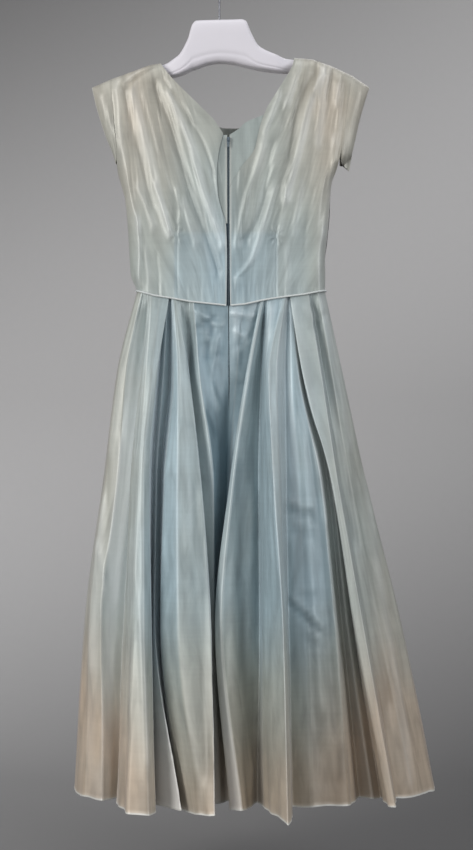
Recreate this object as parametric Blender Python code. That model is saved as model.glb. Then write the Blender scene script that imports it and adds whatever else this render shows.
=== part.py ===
"""A pleated bridesmaid dress hanging on a broad moulded hanger, seen from its back.

The origin is the top of the hook's inner side, where it rests on a rail. X runs across the dress,
Z up, and the back with its zip faces -Y. Tables give millimetres, and the meshes are metres.
"""
import math

import bpy
import numpy as np

MM = 0.001

# Cloth
WALL = 1.2  # thickness of every cloth wall
SEAM = 0.2  # half the gap left at a seam
ARMHOLE_SEAM = 0.9  # gap between an armhole and its sleeve
LAYER_STEP = 2.2  # how far the under layer lies inside the draped one

# The fold widths of the skirt are those seen square on from this far behind the dress
SEEN_FROM = 3200.0
SEEN_ALONG_X = 30.0

CENTRE_BACK_X = 15.8
HEM_Z = -1453.0

# Waist seam: across, height
WAIST_LINE = (
    (-144, -567.5),
    (-113, -577),
    (-83, -581.5),
    (-50, -587.5),
    (16, -594.5),
    (45, -592),
    (74, -585.5),
    (97, -581.5),
    (123, -578),
    (150, -574.5),
    (185, -567.5),
)

# Skirt: depths below the waist at which the widths and the depths of a fold are given
WIDTH_LEVELS = (0, 131, 315, 560, 870)
DEPTH_LEVELS = (0, 315, 870)

# Folds of the skirt's back, left to right along the cloth.
# name, across at the five width levels, depth at the three depth levels
BACK_FOLDS = (
    ("side left", -144, -178, -202, -234, -252, 0, 20, 50),
    ("side panel", -142, -175, -199, -226, -236, -9, -6, 0),
    ("side crease", -137, -163, -178, -207, -204, -15, -22, -34),
    ("first tuck", -123, -132, -148, -164, -175, -18, -13, -2),
    ("first pleat left", -125, -137, -155, -167, -179, -23, -48, -62),
    ("first pleat near left", -118, -129, -144, -151, -162, -25, -75, -144),
    ("first pleat near right", -104, -118, -134, -132, -123, -25, -80, -152),
    ("first pleat right", -87, -108, -122, -118, -111, -25, -70, -124),
    ("second tuck", -96, -105, -117, -121, -117, -19, -16, -62),
    ("strip edge", -91, -98, -110, -113, -66, -18, -27, -125),
    ("strip tuck", -85, -86, -101, -103, -79, -18, -12, -68),
    ("second pleat left", -84, -80, -97, -103, -67, -24, -58, -88),
    ("second pleat middle", -80, -73, -73, -73, -39, -25, -76, -130),
    ("second pleat right", -76, -52, -31, -13, -6, -25, -72, -156),
    ("third tuck", -53, -54, -37, -19, -17, -19, -38, -70),
    ("third pleat right", -46, -34, -10, -8, 3, -25, -50, -56),
    ("centre seam", 15.8, 16.5, 13, 4, 10, -24, -6, -36),
    ("centre right", 42, 30, 18, 10, 20, -24, -6, -36),
    ("fourth tuck", 71, 53, 29, 9, 26, -18.5, -14, -46),
    ("fourth pleat left", 71, 45, 17, -9, 17, -24, -60, -104),
    ("fourth pleat roll", 77, 52, 24, 4, 41, -25, -68, -118),
    ("fifth tuck", 80, 73, 69, 71, 66, -19.5, -34, -50),
    ("fifth pleat left", 84, 78, 75, 75, 78, -24.5, -55, -80),
    ("crest", 113, 87, 95, 112, 120, -25, -104, -192),
    ("crest return", 117, 101, 106, 117, 127, -24, -94, -172),
    ("sixth tuck", 120, 115, 116, 120, 126, -19, -56, -76),
    ("sixth pleat middle", 124, 127, 141, 151, 162, -18, -60, -93),
    ("sixth pleat right", 128, 139, 177, 203, 229, -17, -56, -66),
    ("seventh tuck", 132, 145, 187, 213, 244, -16.5, -20, -6),
    ("streak", 136, 150, 195, 223, 269, -17, -28, -22),
    ("streak tuck", 140, 155, 202, 234, 283, -17.5, -17, -2),
    ("seventh pleat left", 122, 144, 194, 235, 296, -24, -60, -80),
    ("seventh pleat right", 156, 178, 207, 252, 309, -25, -62, -88),
    ("eighth tuck", 160, 181, 212, 256, 310, -19, -30, -10),
    ("side panel right", 173, 196, 229, 278, 341, -20, -24, 4),
    ("side right", 185, 214, 254, 314, 375, 0, 20, 50),
)

# Folds of the skirt's front, right to left: share of the way round, relief at the hem (+ is out)
FRONT_FOLDS = (
    (0.055, 16),
    (0.110, -20),
    (0.155, 24),
    (0.205, -26),
    (0.245, 18),
    (0.300, -22),
    (0.350, 30),
    (0.405, -24),
    (0.450, 20),
    (0.500, -28),
    (0.545, 22),
    (0.590, -24),
    (0.640, 30),
    (0.700, -26),
    (0.745, 20),
    (0.800, -22),
    (0.850, 26),
    (0.900, -18),
    (0.950, 14),
)
FRONT_DEPTHS = (22.5, 62, 150)  # how far the front stands out at the depth levels
FRONT_RELIEFS = (0.1, 0.5, 1.0)  # share of each fold's relief at the depth levels
FOLD_ROUND = 9.0  # longest rounded stretch on each side of a fold

SKIRT_ROWS = (0, 30, 75, 131, 190, 250, 315, 400, 480, 560, 665, 770, 870)

# Zip
ZIP_TOP_Z = -303.0
ZIP_END_Z = -706.0
ZIP_HALF_GAP = 2.1
CHAIN_HALF_WIDTH = 1.5
CHAIN_DEPTHS = (1.0, 3.4)  # behind the cloth's outer face
TAPE_DEPTHS = (3.7, 4.7)
TAPE_WIDTH = 8.0
SLIDER_WIDTH = 5.6
SLIDER_HEIGHT = 8.0
SLIDER_PLATE = 2.0
SLIDER_CORE_WIDTH = 2.4
SLIDER_LIFT = 0.4  # from the cloth to the slider's plate
ARCH_HALF_WIDTH = 0.8
ARCH_HALF_LENGTH = 2.9
ARCH_THICKNESS = 0.9
ARCH_ROOM = 2.2
PULL_THICKNESS = 1.0
PULL_LENGTH = 13.0
PULL_HALF_WIDTH = 2.3
EYE_HALF_WIDTH = 1.3
EYE_END = 4.2
BAR_HALF_HEIGHT = 0.7

# Bodice outlines: across, height
SIDE_LEFT = (
    (-144, -567.5),
    (-155, -539.5),
    (-157, -513),
    (-160, -461),
    (-165, -408),
    (-172, -382),
    (-178, -356),
    (-179, -321),
    (-183, -277),
    (-186, -233),
    (-188, -197),
)
SIDE_RIGHT = (
    (185, -567.5),
    (185.5, -539.5),
    (185, -513),
    (188, -487),
    (193, -434),
    (194, -408),
    (196, -382),
    (204, -358),
    (211, -329),
    (217, -286),
    (225, -233),
    (232, -191),
)
SHOULDER_LEFT = ((-188, -197), (-144, -181), (-123, -173), (-104, -169.5))
SHOULDER_RIGHT = ((133, -160.5), (146, -161), (164, -163), (195, -174), (232, -191))
BACK_NECK_LEFT = ((-100, -176), (-83, -198), (-34, -247), (-11, -270), (-2, -282), (7, -296))
BACK_EDGE_LEFT = ((13.4, -594.5), (13.6, -513), (12, -457), (5, -431), (-2, -403), (-4, -363), (-2, -336), (7, -296))
BACK_EDGE_RIGHT = ((18.2, -594.5), (18, -513), (18.2, -391))
BACK_NECK_RIGHT = (
    (18.2, -391),
    (39, -354),
    (62, -322),
    (71, -284),
    (81, -256),
    (104, -217),
    (128, -176),
)
FRONT_NECK = (
    (-102, -176),
    (-86, -219),
    (-56, -256),
    (-4, -275),
    (20, -279),
    (45, -275),
    (78, -261),
    (111, -219),
    (131, -172),
)
SLEEVE_EDGE_LEFT = ((-181, -346), (-186, -330), (-197, -303), (-206, -277), (-214, -251), (-223, -212))
SLEEVE_EDGE_RIGHT = ((227, -358), (232, -329), (238, -303), (244, -277), (251, -251), (263, -212))
SLEEVE_SEAM_LEFT = ((-179, -340), (-179, -321), (-183, -277), (-186, -233), (-188, -197))
SLEEVE_SEAM_RIGHT = ((212, -345), (212, -329), (217, -286), (225, -233), (232, -191))

# Line that the bodice rounds to at its sides: height, left, right
BODICE_REACH = (
    (-567.5, -144, 185),
    (-539.5, -155, 185.5),
    (-513, -157, 185),
    (-461, -160, 190),
    (-408, -165, 194),
    (-382, -172, 197),
    (-356, -178, 209),
    (-330, -186, 232),
    (-303, -197, 239),
    (-277, -206, 244),
    (-251, -214, 251),
    (-205, -225, 265),
)
# Line over which back and front meet: across, height
SHOULDER_LINE = (
    (-223, -212),
    (-188, -197),
    (-144, -181),
    (-123, -173),
    (-104, -169.5),
    (-80, -150),
    (0, -90),
    (110, -135),
    (133, -160.5),
    (146, -161),
    (164, -163),
    (195, -174),
    (232, -191),
    (263, -212),
)
UNDERARM_Z = -365.0  # below this the side seams are closed
SIDE_ROUND = 22.0  # width over which the bodice rounds to its side
SHOULDER_ROUND = 30.0  # height over which it rounds to its shoulder
SLEEVE_OPEN = 5.0  # half of the opening between a sleeve's back and front edge

# Half depth of the bodice: height, back, front
BODICE_DEPTHS = (
    (-595, 26, 26),
    (-500, 27, 29),
    (-400, 28, 34),
    (-300, 27, 31),
    (-160, 25, 25),
)

# Soft folds of the bodice's back: three points of the line (across, height), relief, half width
BODICE_FOLDS = (
    ((-112, -217), (-87, -280), (-50, -401), -5.0, 8),
    ((-85, -231), (-66, -272), (-31, -385), 4.0, 8),
    ((-150, -226), (-123, -322), (-102, -396), 3.0, 9),
    ((-176, -230), (-172, -280), (-152, -406), 2.5, 7),
    ((-137, -373), (-112, -420), (-85, -468), 2.5, 8),
    ((179, -193), (151, -266), (118, -406), 5.0, 9),
    ((150, -200), (130, -262), (104, -370), -3.5, 8),
    ((109, -284), (90, -329), (81, -396), -4.0, 8),
    ((199, -314), (196, -360), (190, -406), 2.5, 7),
    ((80, -475), (66, -508), (34, -545), 2.5, 8),
    ((-74, -469), (-74, -520), (-74, -571), -2.5, 6),
    ((98, -473), (98, -520), (98, -574), -2.5, 6),
)
# Soft folds of the bodice's front, with two waist darts and gathers at the neck
FRONT_BODICE_FOLDS = (
    ((-118, -215), (-90, -290), (-50, -400), 4.0, 9),
    ((-90, -240), (-60, -300), (-20, -380), -4.0, 8),
    ((160, -205), (130, -290), (90, -400), 4.0, 9),
    ((125, -240), (100, -300), (60, -380), -4.0, 8),
    ((20, -290), (20, -320), (20, -370), -4.0, 8),
    ((-64, -460), (-64, -515), (-64, -570), -2.5, 6),
    ((104, -460), (104, -515), (104, -570), -2.5, 6),
)
FOLD_FADE = 22.0  # length over which a soft fold dies away at its ends

PIPING_RADIUS = 1.8

# Hanger: across, top, bottom, half depth
HANGER_STATIONS = (
    (-183, -199, -207, 6),
    (-176, -196, -213, 10),
    (-150, -184, -211, 13),
    (-123, -173, -206, 14.5),
    (-102, -172.5, -200, 13.5),
    (-73, -158, -192, 18),
    (-55, -128, -185, 20),
    (-47, -102, -181, 20),
    (-40, -96, -179, 20),
    (-20, -95, -172, 20),
    (0, -94.5, -169, 20),
    (25, -94, -171, 20),
    (38, -93.5, -174, 20),
    (46, -96, -176, 20),
    (55, -116, -178, 20),
    (69, -140.5, -181, 20),
    (97, -154.5, -185, 19),
    (120, -162, -188, 14),
    (141, -163.3, -188, 10.5),
    (160, -162, -186, 11),
    (176, -168, -184, 9),
    (182, -171, -181, 6),
)
HANGER_REST = 0.7  # from the hanger's top to the cloth's inner side
HANGER_NECK = (-103.0, 130.0)  # between these the hanger stands free, and cloth lies on it outside them
HANGER_RING = 16
HANGER_TOP_Z = -94.5
HOOK_SEAT = 0.3  # from the body's top to the wire's foot
HOOK_WIRE_RADIUS = 1.9
HOOK_BEND_RADIUS = 24.0
HOOK_CENTRE_Z = -22.1
HOOK_SHANK_TOP_Z = -62.0
HOOK_JOIN_ANGLE = -38.0
HOOK_END_ANGLE = 208.0

# Colours as red, green, blue, roughness, metallic
FINISHES = {
    "organza_blue": (0.46, 0.56, 0.58, 0.45, 0.0),
    "organza_cream": (0.60, 0.59, 0.53, 0.45, 0.0),
    "taffeta_blue": (0.40, 0.52, 0.58, 0.4, 0.0),
    "piping_cream": (0.66, 0.66, 0.60, 0.5, 0.0),
    "zip_blue": (0.22, 0.34, 0.42, 0.6, 0.0),
    "zip_metal": (0.30, 0.33, 0.35, 0.35, 1.0),
    "hanger_white": (0.80, 0.82, 0.84, 0.3, 0.0),
    "hook_chrome": (0.70, 0.70, 0.70, 0.15, 1.0),
}


def clear_scene():
    """Removes every object, so that the script starts from nothing."""
    for thing in list(bpy.data.objects):
        bpy.data.objects.remove(thing, do_unlink=True)


def finish_of(name):
    """The Principled material of this name, made on first use."""
    material = bpy.data.materials.get(name)
    if material is None:
        red, green, blue, roughness, metallic = FINISHES[name]
        material = bpy.data.materials.new(name)
        material.use_nodes = True
        shader = material.node_tree.nodes["Principled BSDF"]
        shader.inputs["Base Color"].default_value = (red, green, blue, 1)
        shader.inputs["Roughness"].default_value = roughness
        shader.inputs["Metallic"].default_value = metallic
    return material


def add_object(name, points, faces, finish):
    """One named object from points in millimetres."""
    mesh = bpy.data.meshes.new(name)
    mesh.from_pydata((np.asarray(points) * MM).tolist(), [], faces)
    mesh.materials.append(finish_of(finish))
    mesh.shade_smooth()
    mesh.set_sharp_from_angle(angle=math.radians(50))
    thing = bpy.data.objects.new(name, mesh)
    bpy.context.collection.objects.link(thing)
    return thing


def eased(at, knots, values):
    """Values at the places `at` on a smooth curve through the knots that never overshoots them."""
    at = np.asarray(at, float)
    knots = np.asarray(knots, float)
    values = np.asarray(values, float)
    if len(knots) == 1:
        return np.broadcast_to(values[0], at.shape)
    spans = np.diff(knots)
    slopes = np.diff(values) / spans
    tangents = np.empty_like(values)
    tangents[0], tangents[-1] = slopes[0], slopes[-1]
    before, after = slopes[:-1], slopes[1:]
    same_way = before * after > 0
    total = np.where(same_way, before + after, 1)
    tangents[1:-1] = np.where(same_way, 2 * before * after / total, 0)
    place = np.clip(at, knots[0], knots[-1])
    index = np.clip(np.searchsorted(knots, place, side="right") - 1, 0, len(spans) - 1)
    span = spans[index]
    share = (place - knots[index]) / span
    rise = share * share * (3 - 2 * share)
    return (
        values[index] * (1 - rise)
        + values[index + 1] * rise
        + span * share * (1 - share) ** 2 * tangents[index]
        - span * share * share * (1 - share) * tangents[index + 1]
    )


def column(table, index):
    """One column of a table."""
    return np.array([row[index] for row in table], float)


def along(outline, shares):
    """Points (across, height) at shares of the length of a smooth line through an outline."""
    corners = np.array(outline, float)
    lengths = np.concatenate([[0], np.cumsum(np.linalg.norm(np.diff(corners, axis=0), axis=1))])
    lengths /= lengths[-1]
    return np.stack([eased(shares, lengths, corners[:, 0]), eased(shares, lengths, corners[:, 1])], axis=-1)


def normals_of(grid, closed=False):
    """Unit normals of a grid of points whose columns run anticlockwise seen from above, rows upwards."""
    if closed:
        across = np.roll(grid, -1, axis=1) - np.roll(grid, 1, axis=1)
    else:
        across = np.gradient(grid, axis=1)
    upwards = np.gradient(grid, axis=0)
    normals = np.cross(across, upwards)
    return normals / np.maximum(np.linalg.norm(normals, axis=-1, keepdims=True), 1e-9)


def add_wall(name, outer, inner, finish):
    """A closed cloth wall between an outer and an inner grid of the same size."""
    rows, columns = outer.shape[:2]
    count = rows * columns
    points = np.concatenate([outer.reshape(-1, 3), inner.reshape(-1, 3)])
    faces = []
    for row in range(rows - 1):
        for place in range(columns - 1):
            a = row * columns + place
            b = a + columns
            faces.append((a, a + 1, b + 1, b))
            faces.append((count + a, count + b, count + b + 1, count + a + 1))
    rim = [place for place in range(columns)]
    rim += [row * columns + columns - 1 for row in range(1, rows)]
    rim += [(rows - 1) * columns + place for place in range(columns - 2, -1, -1)]
    rim += [row * columns for row in range(rows - 2, 0, -1)]
    for here, there in zip(rim, rim[1:] + rim[:1]):
        faces.append((here, here + count, there + count, there))
    return add_object(name, points, faces, finish)


def add_swept(name, rings, finish):
    """A closed solid through rings of points, with flat end caps."""
    count, sides = rings.shape[:2]
    faces = []
    for ring in range(count - 1):
        for side in range(sides):
            a = ring * sides + side
            b = ring * sides + (side + 1) % sides
            faces.append((a, b, b + sides, a + sides))
    faces.append(tuple(range(sides - 1, -1, -1)))
    last = (count - 1) * sides
    faces.append(tuple(range(last, last + sides)))
    return add_object(name, rings.reshape(-1, 3), faces, finish)


def tube_rings(path, radius, sides):
    """Round rings along a path; each ring stands square to the path."""
    path = np.asarray(path, float)
    forward = np.gradient(path, axis=0)
    forward /= np.linalg.norm(forward, axis=1, keepdims=True)
    helper = np.array([0.0, 1.0, 0.0]) if abs(forward[:, 1]).max() < 0.9 else np.array([0.0, 0.0, 1.0])
    side = np.cross(forward, helper)
    side /= np.linalg.norm(side, axis=1, keepdims=True)
    top = np.cross(side, forward)
    turn = np.linspace(0, 2 * math.pi, sides, endpoint=False)
    around = -np.sin(turn)[None, :, None] * top[:, None] + np.cos(turn)[None, :, None] * side[:, None]
    return path[:, None] + radius * around


# Skirt


def waist_height(across):
    """Height of the waist seam at a place across."""
    return np.interp(across, column(WAIST_LINE, 0), column(WAIST_LINE, 1))


def back_fold_points(level):
    """Fold points (across, depth) of the skirt's back at one level below the waist."""
    points = []
    for fold in BACK_FOLDS:
        seen = float(eased(level, WIDTH_LEVELS, fold[1:6]))
        depth = float(eased(level, DEPTH_LEVELS, fold[6:9]))
        across = SEEN_ALONG_X + (seen - SEEN_ALONG_X) * (1 + depth / SEEN_FROM)
        points.append((across, depth))
    return points


def front_fold_points(level, right, left):
    """Fold points of the skirt's front: a half oval from the right side to the left, with relief."""
    out = float(eased(level, DEPTH_LEVELS, FRONT_DEPTHS))
    relief = float(eased(level, DEPTH_LEVELS, FRONT_RELIEFS))
    middle = (right[0] + left[0]) / 2
    half = (right[0] - left[0]) / 2
    points = []
    for share, fold_out in FRONT_FOLDS:
        turn = math.pi * share
        oval_x = math.copysign(abs(math.cos(turn)) ** 0.8, math.cos(turn))
        oval_y = math.sin(turn) ** 0.6
        reach = 1 + relief * fold_out / 170
        points.append((middle + half * oval_x * (1 + (reach - 1) * 0.35), right[1] + (out - right[1]) * oval_y * reach))
    return points


def rounded(points):
    """Three points for each fold of a closed loop: before it, on it and after it, which round it off."""
    corners = np.array(points, float)
    before = np.roll(corners, 1, axis=0) - corners
    after = np.roll(corners, -1, axis=0) - corners
    before_length = np.linalg.norm(before, axis=1, keepdims=True)
    after_length = np.linalg.norm(after, axis=1, keepdims=True)
    reach = np.minimum(FOLD_ROUND, 0.38 * np.minimum(before_length, after_length))
    entry = corners + before / before_length * reach
    leave = corners + after / after_length * reach
    crown = 0.25 * entry + 0.5 * corners + 0.25 * leave
    return np.stack([entry, crown, leave], axis=1).reshape(-1, 2)


def skirt_loop(level):
    """The skirt's closed outline at one level below the waist, with its heights."""
    back = back_fold_points(level)
    loop = rounded(back + front_fold_points(level, back[-1], back[0]))
    share = level / SKIRT_ROWS[-1]
    top = waist_height(loop[:, 0]) - SEAM
    if level > 0:
        waist = skirt_loop(0)
        top = waist[:, 2]
    heights = top + (HEM_Z - top) * share
    return np.column_stack([loop, heights])


def add_skirt():
    """The two back pieces and the front of the skirt, cut from one closed pleated tube."""
    outer = np.array([skirt_loop(level) for level in reversed(SKIRT_ROWS)])
    inner = outer - WALL * normals_of(outer, closed=True)
    # The waist's and the hem's edges stay level through the wall
    inner[0, :, 2] = outer[0, :, 2]
    inner[-1, :, 2] = outer[-1, :, 2]
    along_cloth = np.roll(outer, -1, axis=1) - np.roll(outer, 1, axis=1)
    along_cloth /= np.linalg.norm(along_cloth, axis=-1, keepdims=True)
    names = [fold[0] for fold in BACK_FOLDS]
    left = 1
    centre = 3 * names.index("centre seam") + 1
    right = 3 * names.index("side right") + 1
    total = outer.shape[1]
    levels = np.array(SKIRT_ROWS[::-1], float)
    centre_gap = np.interp(levels, (0, 131, 190), (ZIP_HALF_GAP, ZIP_HALF_GAP, SEAM))
    side_gap = np.full(len(levels), SEAM)
    cuts = (
        ("skirt_back_left", left, centre, side_gap, centre_gap),
        ("skirt_back_right", centre, right, centre_gap, side_gap),
        ("skirt_front", right, left + total, side_gap, side_gap),
    )
    for name, first, last, first_gap, last_gap in cuts:
        places = np.arange(first, last + 1) % total
        sheets = []
        for grid in (outer, inner):
            sheet = grid[:, places].copy()
            sheet[:, 0] += along_cloth[:, places[0]] * first_gap[:, None]
            sheet[:, -1] -= along_cloth[:, places[-1]] * last_gap[:, None]
            sheets.append(sheet)
        add_wall(name, sheets[0], sheets[1], "organza_blue")


# Bodice


def rounding(share):
    """A quarter round: nothing at 0, all at 1 and beyond."""
    kept = np.clip(share, 0, 1)
    return np.sqrt(1 - (1 - kept) ** 2)


def soft_folds(across, height, folds):
    """Relief of soft folds: each is a bell across its line, which dies away at its ends."""
    relief = np.zeros_like(across)
    for top, middle, low, out, half_width in folds:
        heights = (low[1], middle[1], top[1])
        line = eased(height, heights, (low[0], middle[0], top[0]))
        ends = np.clip(np.minimum(height - low[1], top[1] - height) / FOLD_FADE + 1, 0, 1)
        bell = np.exp(-(((across - line) / half_width) ** 2))
        relief += out * bell * ends * ends * (3 - 2 * ends)
    return relief


def bodice_depth(across, height, front):
    """Depth of the bodice at places across and heights; the back's is negative."""
    left = eased(height, column(BODICE_REACH, 0), column(BODICE_REACH, 1))
    right = eased(height, column(BODICE_REACH, 0), column(BODICE_REACH, 2))
    from_side = np.minimum(across - left, right - across)
    shoulder = np.interp(across, column(SHOULDER_LINE, 0), column(SHOULDER_LINE, 1))
    side_round = rounding(from_side / SIDE_ROUND)
    top_round = rounding((shoulder - height) / SHOULDER_ROUND)
    depth = eased(height, column(BODICE_DEPTHS, 0), column(BODICE_DEPTHS, 2 if front else 1))
    folds = FRONT_BODICE_FOLDS if front else BODICE_FOLDS
    relief = soft_folds(across, height, folds) * side_round * top_round
    sleeve = np.clip((height + 372) / 20, 0, 1) * SLEEVE_OPEN
    out = top_round * (sleeve + (depth - sleeve) * side_round) + relief
    return out if front else -out


def patch(bottom, top, left, right, columns, rows):
    """Points (across, height) of a patch blended between four edge lines."""
    low = along(bottom, columns)[None]
    high = along(top, columns)[None]
    start = along(left, rows)[:, None]
    end = along(right, rows)[:, None]
    u = columns[None, :, None]
    v = rows[:, None, None]
    corners = (
        (1 - u) * (1 - v) * low[:, :1]
        + u * (1 - v) * low[:, -1:]
        + (1 - u) * v * high[:, :1]
        + u * v * high[:, -1:]
    )
    return (1 - v) * low + v * high + (1 - u) * start + u * end - corners


def add_bodice_sheet(name, flat, front, finish, step=0.0, seams=()):
    """A cloth wall on the bodice's form from its points (across, height), `step` inside the form.

    `seams` are the columns that lie on a side seam."""
    depth = bodice_depth(flat[..., 0], flat[..., 1], front)
    sign = 1 if front else -1
    depth = sign * np.maximum(sign * depth, SEAM)
    for place in seams:
        depth[:, place] = np.where(flat[:, place, 1] < UNDERARM_Z, sign * SEAM, depth[:, place])
    outer = np.stack([flat[..., 0], depth, flat[..., 1]], axis=-1)
    normals = normals_of(outer)
    on_seam = sign * depth < 3 * SEAM
    normals[..., 1] = np.where(on_seam, 0, normals[..., 1])
    normals /= np.linalg.norm(normals, axis=-1, keepdims=True)
    normals[0, :, 2] = 0
    outer = outer - step * normals
    add_wall(name, outer, outer - WALL * normals, finish)


def waist_edge(start, end):
    """The bodice's lower edge between two places across, just above the waist seam."""
    places = np.linspace(start, end, 15)
    return tuple(zip(places, waist_height(places) + 2 * SEAM))


# Shares at which a patch has its columns and rows: close where the cloth turns over
TURN = (0, 0.016, 0.05, 0.085, 0.13)
SIDE_COLUMNS = np.array(TURN + tuple(np.linspace(0.19, 1, 13)))
BODY_ROWS = np.array(tuple(np.linspace(0, 0.87, 10)) + (0.92, 0.955, 0.98, 0.993, 0.998, 1))


def add_bodice():
    """The draped back left and right, the under layer beside the zip, and the front."""
    left = patch(
        waist_edge(SIDE_LEFT[0][0], BACK_EDGE_LEFT[0][0]),
        SHOULDER_LEFT + BACK_NECK_LEFT,
        SIDE_LEFT,
        BACK_EDGE_LEFT,
        SIDE_COLUMNS,
        BODY_ROWS,
    )
    add_bodice_sheet("back_bodice_left", left, False, "organza_cream", seams=(0,))
    right = patch(
        waist_edge(BACK_EDGE_RIGHT[0][0], SIDE_RIGHT[0][0]),
        BACK_NECK_RIGHT + SHOULDER_RIGHT,
        BACK_EDGE_RIGHT,
        SIDE_RIGHT,
        1 - SIDE_COLUMNS[::-1],
        BODY_ROWS,
    )
    add_bodice_sheet("back_bodice_right", right, False, "organza_cream", seams=(-1,))
    plain = np.linspace(0, 1, 7)
    tall = np.linspace(0, 1, 9)
    under_left = patch(
        ((-12, -452), (13.6, -452)),
        ((-8, -300), (13.4, -298)),
        ((-12, -452), (-16, -380), (-8, -300)),
        ((13.6, -452), (13.4, -298)),
        plain,
        tall,
    )
    add_bodice_sheet("under_bodice_left", under_left, False, "taffeta_blue", LAYER_STEP)
    under_right = patch(
        ((18, -452), (66, -452)),
        ((18.2, -298), (36, -286), (45, -277), (78, -263), (94, -256)),
        ((18, -452), (18.2, -298)),
        ((66, -452), (88, -340), (94, -256)),
        plain,
        tall,
    )
    add_bodice_sheet("under_bodice_right", under_right, False, "taffeta_blue", LAYER_STEP)
    turns = np.array(TURN[:-1]) * 0.6
    front_columns = np.concatenate([turns, np.linspace(0.09, 0.91, 23), 1 - turns[::-1]])
    front = patch(
        waist_edge(SIDE_RIGHT[0][0], SIDE_LEFT[0][0]),
        SHOULDER_RIGHT[::-1] + FRONT_NECK[::-1] + SHOULDER_LEFT[::-1],
        SIDE_RIGHT,
        SIDE_LEFT,
        front_columns,
        BODY_ROWS,
    )
    add_bodice_sheet("front_bodice", front, True, "organza_cream", seams=(0, -1))


def add_sleeve(name, seam, edge, outwards):
    """A cap sleeve: a band from the back underarm over the shoulder to the front one."""
    climb = np.array([0, 0.2, 0.4, 0.6, 0.78, 0.9, 0.96, 0.99, 1])
    across = np.array([0, 0.25, 0.5, 0.75, 0.9, 1])
    inner_line = along(seam, climb)
    inner_line[:, 0] += outwards * ARMHOLE_SEAM
    outer_line = along(edge, climb)
    half = inner_line[:, None] * (1 - across[None, :, None]) + outer_line[:, None] * across[None, :, None]
    if outwards < 0:
        half = half[:, ::-1]
    back_depth = bodice_depth(half[..., 0], half[..., 1], False)
    front_depth = bodice_depth(half[..., 0], half[..., 1], True)
    back_depth[-1] = 0
    back = np.stack([half[..., 0], back_depth, half[..., 1]], axis=-1)
    front = np.stack([half[..., 0], front_depth, half[..., 1]], axis=-1)[:-1]
    outer = np.concatenate([back, front[::-1]])
    add_wall(name, outer, outer - WALL * normals_of(outer), "organza_cream")


def add_piping(name, start, end, front):
    """A round cord along the waist seam, outside the cloth."""
    middle = (start + end) / 2
    half = (end - start) / 2
    sweep = np.linspace(0, math.pi, 27) if front else np.linspace(0, math.pi, 21)
    places = middle - half * np.cos(sweep)
    heights = waist_height(places)
    sign = 1 if front else -1
    depth = sign * np.maximum(sign * bodice_depth(places, heights, front), SEAM + 0.1)
    line = np.column_stack([places, depth, heights])
    step = np.gradient(line, axis=0)
    outwards = np.column_stack([step[:, 1], -step[:, 0], np.zeros(len(line))])
    outwards /= np.linalg.norm(outwards, axis=1, keepdims=True)
    path = line + outwards * (PIPING_RADIUS + 0.5)
    add_swept(name, tube_rings(path, PIPING_RADIUS, 6), "piping_cream")


# Zip


def centre_back_depth(height):
    """Depth of the cloth's outer face on the centre back line."""
    height = np.asarray(height, float)
    waist = float(waist_height(CENTRE_BACK_X))
    bodice = bodice_depth(np.full_like(height, CENTRE_BACK_X), height, False)
    seam = BACK_FOLDS[[fold[0] for fold in BACK_FOLDS].index("centre seam")]
    level = (waist - height) / (waist - HEM_Z) * SKIRT_ROWS[-1]
    skirt = eased(level, DEPTH_LEVELS, seam[6:9])
    return np.where(height > waist, bodice, skirt)


def add_strip(name, left, right, depths, top, bottom, finish):
    """A flat strip down the centre back, between two depths behind the cloth's face."""
    heights = np.linspace(top, bottom, 12)
    face = centre_back_depth(heights)
    rings = np.empty((len(heights), 4, 3))
    corners = ((left, depths[0]), (right, depths[0]), (right, depths[1]), (left, depths[1]))
    for index, (x, behind) in enumerate(corners):
        rings[:, index] = np.column_stack([np.full_like(face, x), face + behind, heights])
    add_swept(name, rings[:, ::-1], finish)


def extruded(name, outline, start, end, axis, finish):
    """A flat outline, pushed along one axis from start to end; it runs so that its face looks that way."""
    points = []
    for level in (start, end):
        for a, b in outline:
            point = {"x": (level, a, b), "y": (b, level, a), "z": (a, b, level)}[axis]
            points.append(point)
    rings = np.array(points, float).reshape(2, len(outline), 3)
    return add_swept(name, rings, finish)


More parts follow.
